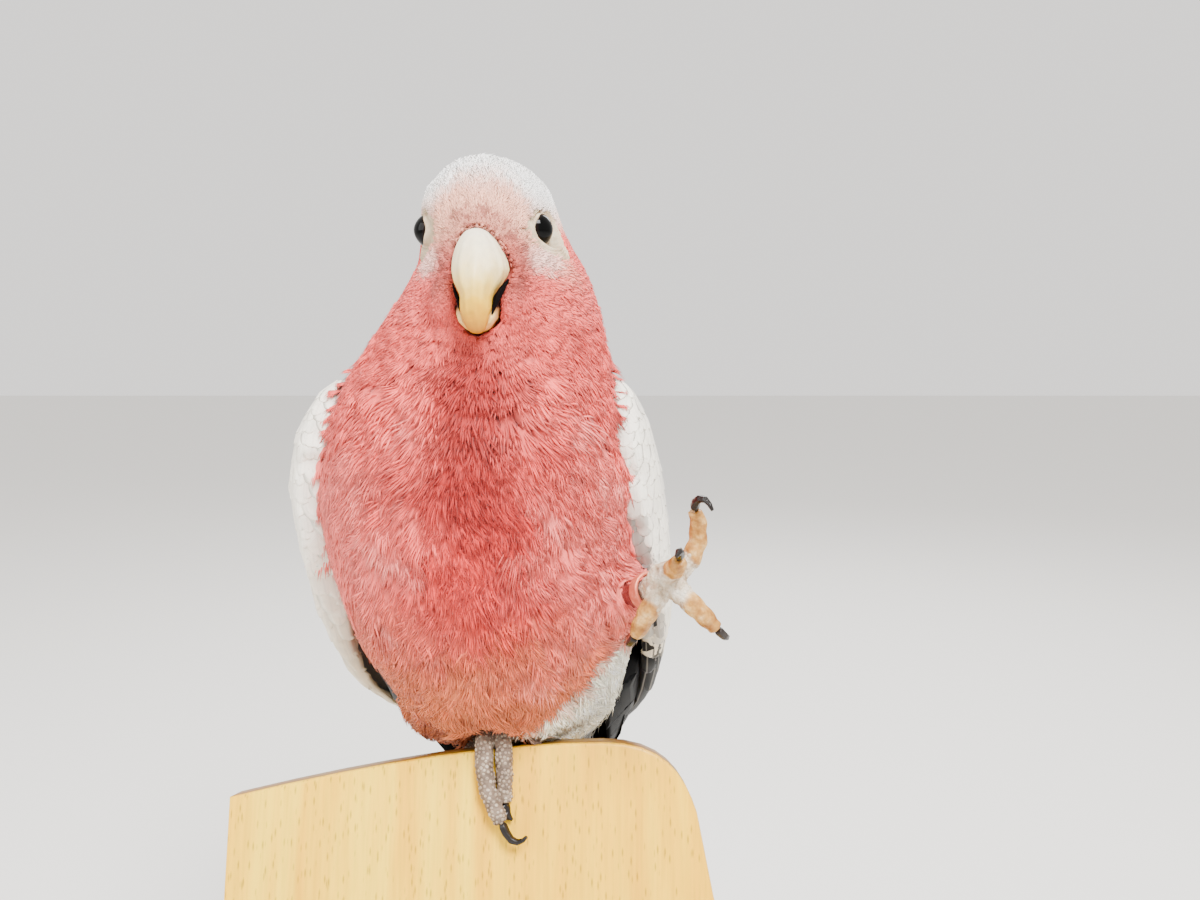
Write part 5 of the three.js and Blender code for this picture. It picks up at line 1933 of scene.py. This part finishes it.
def scale_tree(finish):
    """Low domed scales spread over the scaly parts of a mesh."""
    tree = bpy.data.node_groups.new("scatter_scales", "GeometryNodeTree")
    sockets = tree.interface
    sockets.new_socket("Geometry", in_out="INPUT", socket_type="NodeSocketGeometry")
    sizes = {"Scale spacing": 1.05 * MM, "Scale radius": 0.62 * MM, "Scale height": 0.30}
    for label, value in sizes.items():
        socket = sockets.new_socket(label, in_out="INPUT", socket_type="NodeSocketFloat")
        socket.default_value = value
    sockets.new_socket("Geometry", in_out="OUTPUT", socket_type="NodeSocketGeometry")
    given = add_node(tree, "NodeGroupInput")
    scaly = add_node(tree, "GeometryNodeInputNamedAttribute", {"Name": "scaly"}, data_type="FLOAT")
    where = add_node(tree, "FunctionNodeCompare", {0: scaly, 1: 0.5}, operation="GREATER_THAN")
    spread = add_node(tree, "GeometryNodeDistributePointsOnFaces", {
        "Mesh": given.outputs["Geometry"], "Selection": where,
        "Distance Min": given.outputs["Scale spacing"], "Density Max": 1.6e6, "Seed": 5,
    }, distribute_method="POISSON")
    dome = add_node(tree, "GeometryNodeMeshIcoSphere", {
        "Radius": given.outputs["Scale radius"], "Subdivisions": 2,
    })
    flat = add_node(tree, "ShaderNodeCombineXYZ", {
        "X": 1.0, "Y": 1.0, "Z": given.outputs["Scale height"],
    })
    squashed = add_node(tree, "GeometryNodeTransform", {"Geometry": dome, "Scale": flat})
    size = add_node(tree, "FunctionNodeRandomValue", {2: 0.78, 3: 1.12, "Seed": 9}, data_type="FLOAT")
    placed = add_node(tree, "GeometryNodeInstanceOnPoints", {
        "Points": spread, "Instance": squashed,
        "Rotation": spread.outputs["Rotation"], "Scale": size.outputs[1],
    })
    real = add_node(tree, "GeometryNodeRealizeInstances", {"Geometry": placed})
    soft = add_node(tree, "GeometryNodeSetShadeSmooth", {"Geometry": real})
    painted = add_node(tree, "GeometryNodeSetMaterial", {"Geometry": soft, "Material": finish})
    add_node(tree, "NodeGroupOutput", {"Geometry": painted})
    return tree


for side, (finish, spacing, radius) in SCALES.items():
    host = bpy.data.objects.new(f"foot_scales_{side}", feet[side].data.copy())
    bpy.context.scene.collection.objects.link(host)
    tree = scale_tree(finish)
    modifier = host.modifiers.new("scales", "NODES")
    modifier.node_group = tree
    items = tree.interface.items_tree
    inputs = {item.name: item.identifier for item in items if item.in_out == "INPUT"}
    modifier[inputs["Scale spacing"]] = spacing * MM
    modifier[inputs["Scale radius"]] = radius * MM
    settle(host)
    for piece in (feet[side], host):
        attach(piece, "root")
    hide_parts(f"leg_{side}")
    skin_count, scale_count = len(feet[side].data.polygons), len(host.data.polygons)
    print(f"foot_{side}:", skin_count, "faces,", scale_count, "on its scales")

# %% [markdown]
# ## Claws
# The claws are nearly black horn, polished by use, with faint brown clouds. The CAD
# claws are melted to a fine mesh. Real claws grow out from under the toe's skin, so
# the points nearest to a toe are pushed into it, and no gap shows at the root.

# %% Claws
CLAW_SOCKET = 2.2  # mm that a claw's root is pushed into its toe
CLAW_ROOT = (1.7, 0.2)  # mm from the toe over which that push grows to its full size
CLAW_HEIGHTS = (0.14, 0.26)  # metres above the floor between which their colour runs
claw_horn = new_material("polished_claw_horn", horn, [
    (0.0, "#120d0b"), (0.5, "#241b17"), (1.0, "#0e0a08"),
], *CLAW_HEIGHTS, 0.28)
for side in SIDES:
    names = [f"claw_{side}_{digit}" for digit in (1, 2, 3, 4)]
    claws, points, _ = grown(f"claws_{side}", names, 0.22, 4, 0.06)
    _, toe_normals, gap = leg_surface.nearest(points)
    push = CLAW_SOCKET * step(*CLAW_ROOT, gap / MM) * MM
    move_points(claws, points - toe_normals * push[:, None])
    claws.data.materials.append(claw_horn)
    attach(claws, "root")
    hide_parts(*names)
    print(f"claws_{side}:", len(claws.data.polygons), "faces")

# %% [markdown]
# ## Leg ring
# The raised shank wears a closed band of anodised aluminium, a plain bent strip. It is
# a lathe turned round the shank with rounded edges. Its size and the way it leans are
# measured from the CAD ring's own points, and it fits loosely.

# %% Leg ring
RING_STRIP = 0.55  # mm, half the strip's thickness
RING_TURNS = 96
PROFILE_SIDES = 20


def softened(wave, power):
    """A sine or cosine made boxier, for a profile with rounded corners."""
    return np.sign(wave) * np.abs(wave) ** power


ring_points = points_of(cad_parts["leg_ring"].data)
ring_middle = ring_points.mean(axis=0)
_, _, ring_frame = np.linalg.svd(ring_points - ring_middle)
ring_axis = ring_frame[2]
ring_reach = np.linalg.norm(np.cross(ring_points - ring_middle, ring_axis), axis=1)
ring_half = np.abs((ring_points - ring_middle) @ ring_axis).max()
strip_radius = ring_reach.max() - RING_STRIP * MM
profile_turn = np.linspace(0, 2 * math.pi, PROFILE_SIDES, endpoint=False)
profile_out = softened(np.cos(profile_turn), 0.45) * RING_STRIP * MM
profile_up = softened(np.sin(profile_turn), 0.35) * ring_half
rows = []
for turn in np.linspace(0, 2 * math.pi, RING_TURNS, endpoint=False):
    out = ring_frame[0] * math.cos(turn) + ring_frame[1] * math.sin(turn)
    flat = out * (strip_radius + profile_out)[:, None]
    rows.append(ring_middle + flat + ring_axis * profile_up[:, None])
faces = loop_faces(RING_TURNS, PROFILE_SIDES)
if np.dot(np.cross(ring_frame[0], ring_frame[1]), ring_axis) > 0:
    faces = faces[:, ::-1]
leg_ring = mesh_object("leg_band", np.concatenate(rows), faces)


def anodised(tree, place):
    """Salmon anodised aluminium, scuffed in fine clouds."""
    scuffs = add_node(tree, "ShaderNodeTexNoise", {"Vector": place, "Scale": 700.0, "Detail": 6.0})
    tone = add_node(tree, "ShaderNodeValToRGB", {"Fac": scuffs}, stops=[
        (0.35, "#c4634b"), (0.6, "#d8795e"), (0.72, "#e7a992"),
    ])
    rough = add_node(tree, "ShaderNodeMapRange", {
        "Value": scuffs, "To Min": 0.30, "To Max": 0.55,
    })
    return add_node(tree, "ShaderNodeBsdfPrincipled", {
        "Base Color": tone, "Roughness": rough, "Metallic": 0.25,
    })


leg_ring.data.materials.append(new_material("salmon_anodised_aluminium", anodised))
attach(leg_ring, "root")
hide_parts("leg_ring")
print("leg ring", round(2 * ring_reach.max() / MM, 1), "mm across")

# %% [markdown]
# ## Board, rods and base
# The bird grips the top of a beech board, 12 mm thick, planed, with a clear lacquer.
# Beech is pale and yellowish with a straight grain and short dark flecks, which are
# cut rays. The board leans back by 15 degrees, so a mapping node turns the grain with
# it. Its sawn edges show a darker core between two pale faces. The edges get a small
# round, as sanding leaves them. Base and rods are plain: black stained wood and steel.

# %% Wooden pieces
BOARD_LEAN = math.radians(15)
CORE_HALF = (4.7, 5.0)  # mm from the board's middle over which the dark core fades


def board_core(tree, place):
    """1 in the dark core of the board's thickness and 0 in its pale faces."""
    across_board = (0, math.cos(BOARD_LEAN), -math.sin(BOARD_LEAN))
    deep = add_node(tree, "ShaderNodeVectorMath", {
        0: place, 1: across_board,
    }, operation="DOT_PRODUCT")
    grip = GRIP_EDGE * MM
    middle = grip[1] * math.cos(BOARD_LEAN) - grip[2] * math.sin(BOARD_LEAN)
    inwards = add_node(tree, "ShaderNodeMath", {
        0: deep.outputs["Value"], 1: middle,
    }, operation="SUBTRACT")
    from_middle = add_node(tree, "ShaderNodeMath", {0: inwards}, operation="ABSOLUTE")
    return add_node(tree, "ShaderNodeMapRange", {
        "Value": from_middle, "From Min": CORE_HALF[0] * MM, "From Max": CORE_HALF[1] * MM,
        "To Min": 0.85, "To Max": 0.0,
    })


def beech(tree, place):
    """Lacquered beech with upright grain and ray flecks."""
    turned = add_node(tree, "ShaderNodeMapping", {"Vector": place, "Rotation": (BOARD_LEAN, 0, 0)})
    wide = add_node(tree, "ShaderNodeMapping", {"Vector": turned, "Scale": (60, 60, 5)})
    bands = add_node(tree, "ShaderNodeTexNoise", {
        "Vector": wide, "Scale": 1.0, "Detail": 4.0, "Distortion": 0.4,
    })
    fine = add_node(tree, "ShaderNodeMapping", {"Vector": turned, "Scale": (1100, 1100, 55)})
    pores = add_node(tree, "ShaderNodeTexNoise", {"Vector": fine, "Scale": 1.0, "Detail": 3.0})
    short = add_node(tree, "ShaderNodeMapping", {"Vector": turned, "Scale": (850, 850, 190)})
    flecks = add_node(tree, "ShaderNodeTexVoronoi", {"Vector": short, "Scale": 1.0})
    base = add_node(tree, "ShaderNodeValToRGB", {"Fac": bands}, stops=[
        (0.30, "#e29a00"), (0.46, "#f8bd10"), (0.58, "#ffd22c"), (0.75, "#f2b200"),
    ])
    fleck = add_node(tree, "ShaderNodeMapRange", {
        "Value": flecks, "From Min": 0.10, "From Max": 0.32, "To Min": 0.56, "To Max": 1.0,
    })
    pore = add_node(tree, "ShaderNodeMapRange", {
        "Value": pores, "From Min": 0.30, "From Max": 0.62, "To Min": 0.90, "To Max": 1.03,
    })
    value = add_node(tree, "ShaderNodeMath", {0: fleck, 1: pore}, operation="MULTIPLY")
    grained = add_node(tree, "ShaderNodeHueSaturation", {"Color": base, "Value": value})
    tone = add_node(tree, "ShaderNodeMix", {
        "Factor": board_core(tree, place), 6: grained, 7: linear("#6f4420"),
    }, data_type="RGBA")
    bump = add_node(tree, "ShaderNodeBump", {
        "Height": pores, "Strength": 0.12, "Distance": 0.1 * MM,
    })
    return add_node(tree, "ShaderNodeBsdfPrincipled", {
        "Base Color": tone.outputs[2], "Roughness": 0.42, "Normal": bump, "IOR": 1.5,
        "Coat Weight": 0.12, "Coat Roughness": 0.18, "Specular IOR Level": 0.25,
    })


def stained_wood(tree, place):
    """Open-pored wood stained nearly black, under an oil finish."""
    stretch = add_node(tree, "ShaderNodeMapping", {"Vector": place, "Scale": (14, 420, 420)})
    grain = add_node(tree, "ShaderNodeTexNoise", {
        "Vector": stretch, "Scale": 1.0, "Detail": 5.0, "Distortion": 0.6,
    })
    tone = add_node(tree, "ShaderNodeValToRGB", {"Fac": grain}, stops=[
        (0.32, "#161412"), (0.5, "#2a2623"), (0.66, "#3b3531"),
    ])
    rough = add_node(tree, "ShaderNodeMapRange", {"Value": grain, "To Min": 0.38, "To Max": 0.62})
    bump = add_node(tree, "ShaderNodeBump", {
        "Height": grain, "Strength": 0.3, "Distance": 0.2 * MM,
    })
    return add_node(tree, "ShaderNodeBsdfPrincipled", {
        "Base Color": tone, "Roughness": rough, "Normal": bump, "IOR": 1.5,
    })


def brushed_steel(tree, place):
    """Steel rod brushed round its axis."""
    stretch = add_node(tree, "ShaderNodeMapping", {"Vector": place, "Scale": (40, 40, 3000)})
    lines = add_node(tree, "ShaderNodeTexNoise", {"Vector": stretch, "Scale": 1.0, "Detail": 3.0})
    tone = add_node(tree, "ShaderNodeValToRGB", {"Fac": lines}, stops=[
        (0.35, "#9c9da0"), (0.65, "#c6c7ca"),
    ])
    rough = add_node(tree, "ShaderNodeMapRange", {"Value": lines, "To Min": 0.24, "To Max": 0.40})
    return add_node(tree, "ShaderNodeBsdfPrincipled", {
        "Base Color": tone, "Roughness": rough, "Metallic": 1.0, "Anisotropic": 0.4,
    })


def rounded(name, node, radius, material):
    """A copy of a CAD solid with rounded edges and a finish, in its place."""
    piece = solids_copy(name, [node])
    bevel = piece.modifiers.new("round", "BEVEL")
    bevel.width = radius * MM
    bevel.segments = 3
    bevel.limit_method = "ANGLE"
    bevel.angle_limit = math.radians(40)
    bevel.harden_normals = True
    settle(piece)
    piece.data.materials.append(material)
    piece.data.shade_smooth()
    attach(piece, "root")
    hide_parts(node)
    return piece


lacquered_beech = new_material("lacquered_beech", beech)
stained_ash = new_material("black_stained_ash", stained_wood)
steel = new_material("brushed_steel", brushed_steel)
board = rounded("beech_board", "stand_perch", 0.7, lacquered_beech)
rounded("base_board", "stand_base", 1.6, stained_ash)
for node in ("stand_rod_1", "stand_rod_2"):
    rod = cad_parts[node]
    rod.data.materials.clear()
    rod.data.materials.append(steel)
print("board", len(board.data.polygons), "faces")

# %% [markdown]
# ## Floor and light
# A pale floor and a bright even room match the high, soft light of a shop ceiling.
# One lamp above the bird's left gives the head its form, a broad one fills from its
# right, and a third behind rims the crown and shoulders.

# %% Stage
floor_points = np.array([(-6, -6, 0), (6, -6, 0), (6, 6, 0), (-6, 6, 0)], float)
floor = mesh_object("pale_floor", floor_points, np.array([(0, 1, 2, 3)]))


def matt_floor(tree, _):
    """Plain matt paint."""
    return add_node(tree, "ShaderNodeBsdfPrincipled", {
        "Base Color": linear("#e9e7e3"), "Roughness": 0.8,
    })


floor.data.materials.append(new_material("pale_matt_floor", matt_floor))

# Each lamp: its name, place in metres, width in metres and power in watts.
LAMPS = [
    ("ceiling_panel", (0.30, -0.60, 1.00), 0.38, 28.0),
    ("side_fill", (-0.9, -0.45, 0.65), 0.7, 8.0),
    ("crown_rim", (0.25, 0.8, 0.95), 0.5, 9.0),
]
BIRD_MIDDLE = (0, 0, 0.22)
for name, place, size, power in LAMPS:
    lamp_data = bpy.data.lights.new(name, "AREA")
    lamp_data.energy = power
    lamp_data.size = size
    lamp = bpy.data.objects.new(name, lamp_data)
    lamp.location = place
    aim = Vector(BIRD_MIDDLE) - lamp.location
    lamp.rotation_euler = aim.to_track_quat("-Z", "Y").to_euler()
    bpy.context.scene.collection.objects.link(lamp)

room = bpy.data.worlds.new("bright_room")
room.use_nodes = True
room.node_tree.nodes.clear()
glow = add_node(room.node_tree, "ShaderNodeBackground", {
    "Color": linear("#f4f1ee"), "Strength": 1.55,
})
add_node(room.node_tree, "ShaderNodeOutputWorld", {"Surface": glow})
bpy.context.scene.world = room
print("lamps:", len(LAMPS))

# %% [markdown]
# ## Finish
# The scratch outer form is removed.

# %% Finish
bpy.data.objects.remove(form_object)
bpy.context.view_layer.update()
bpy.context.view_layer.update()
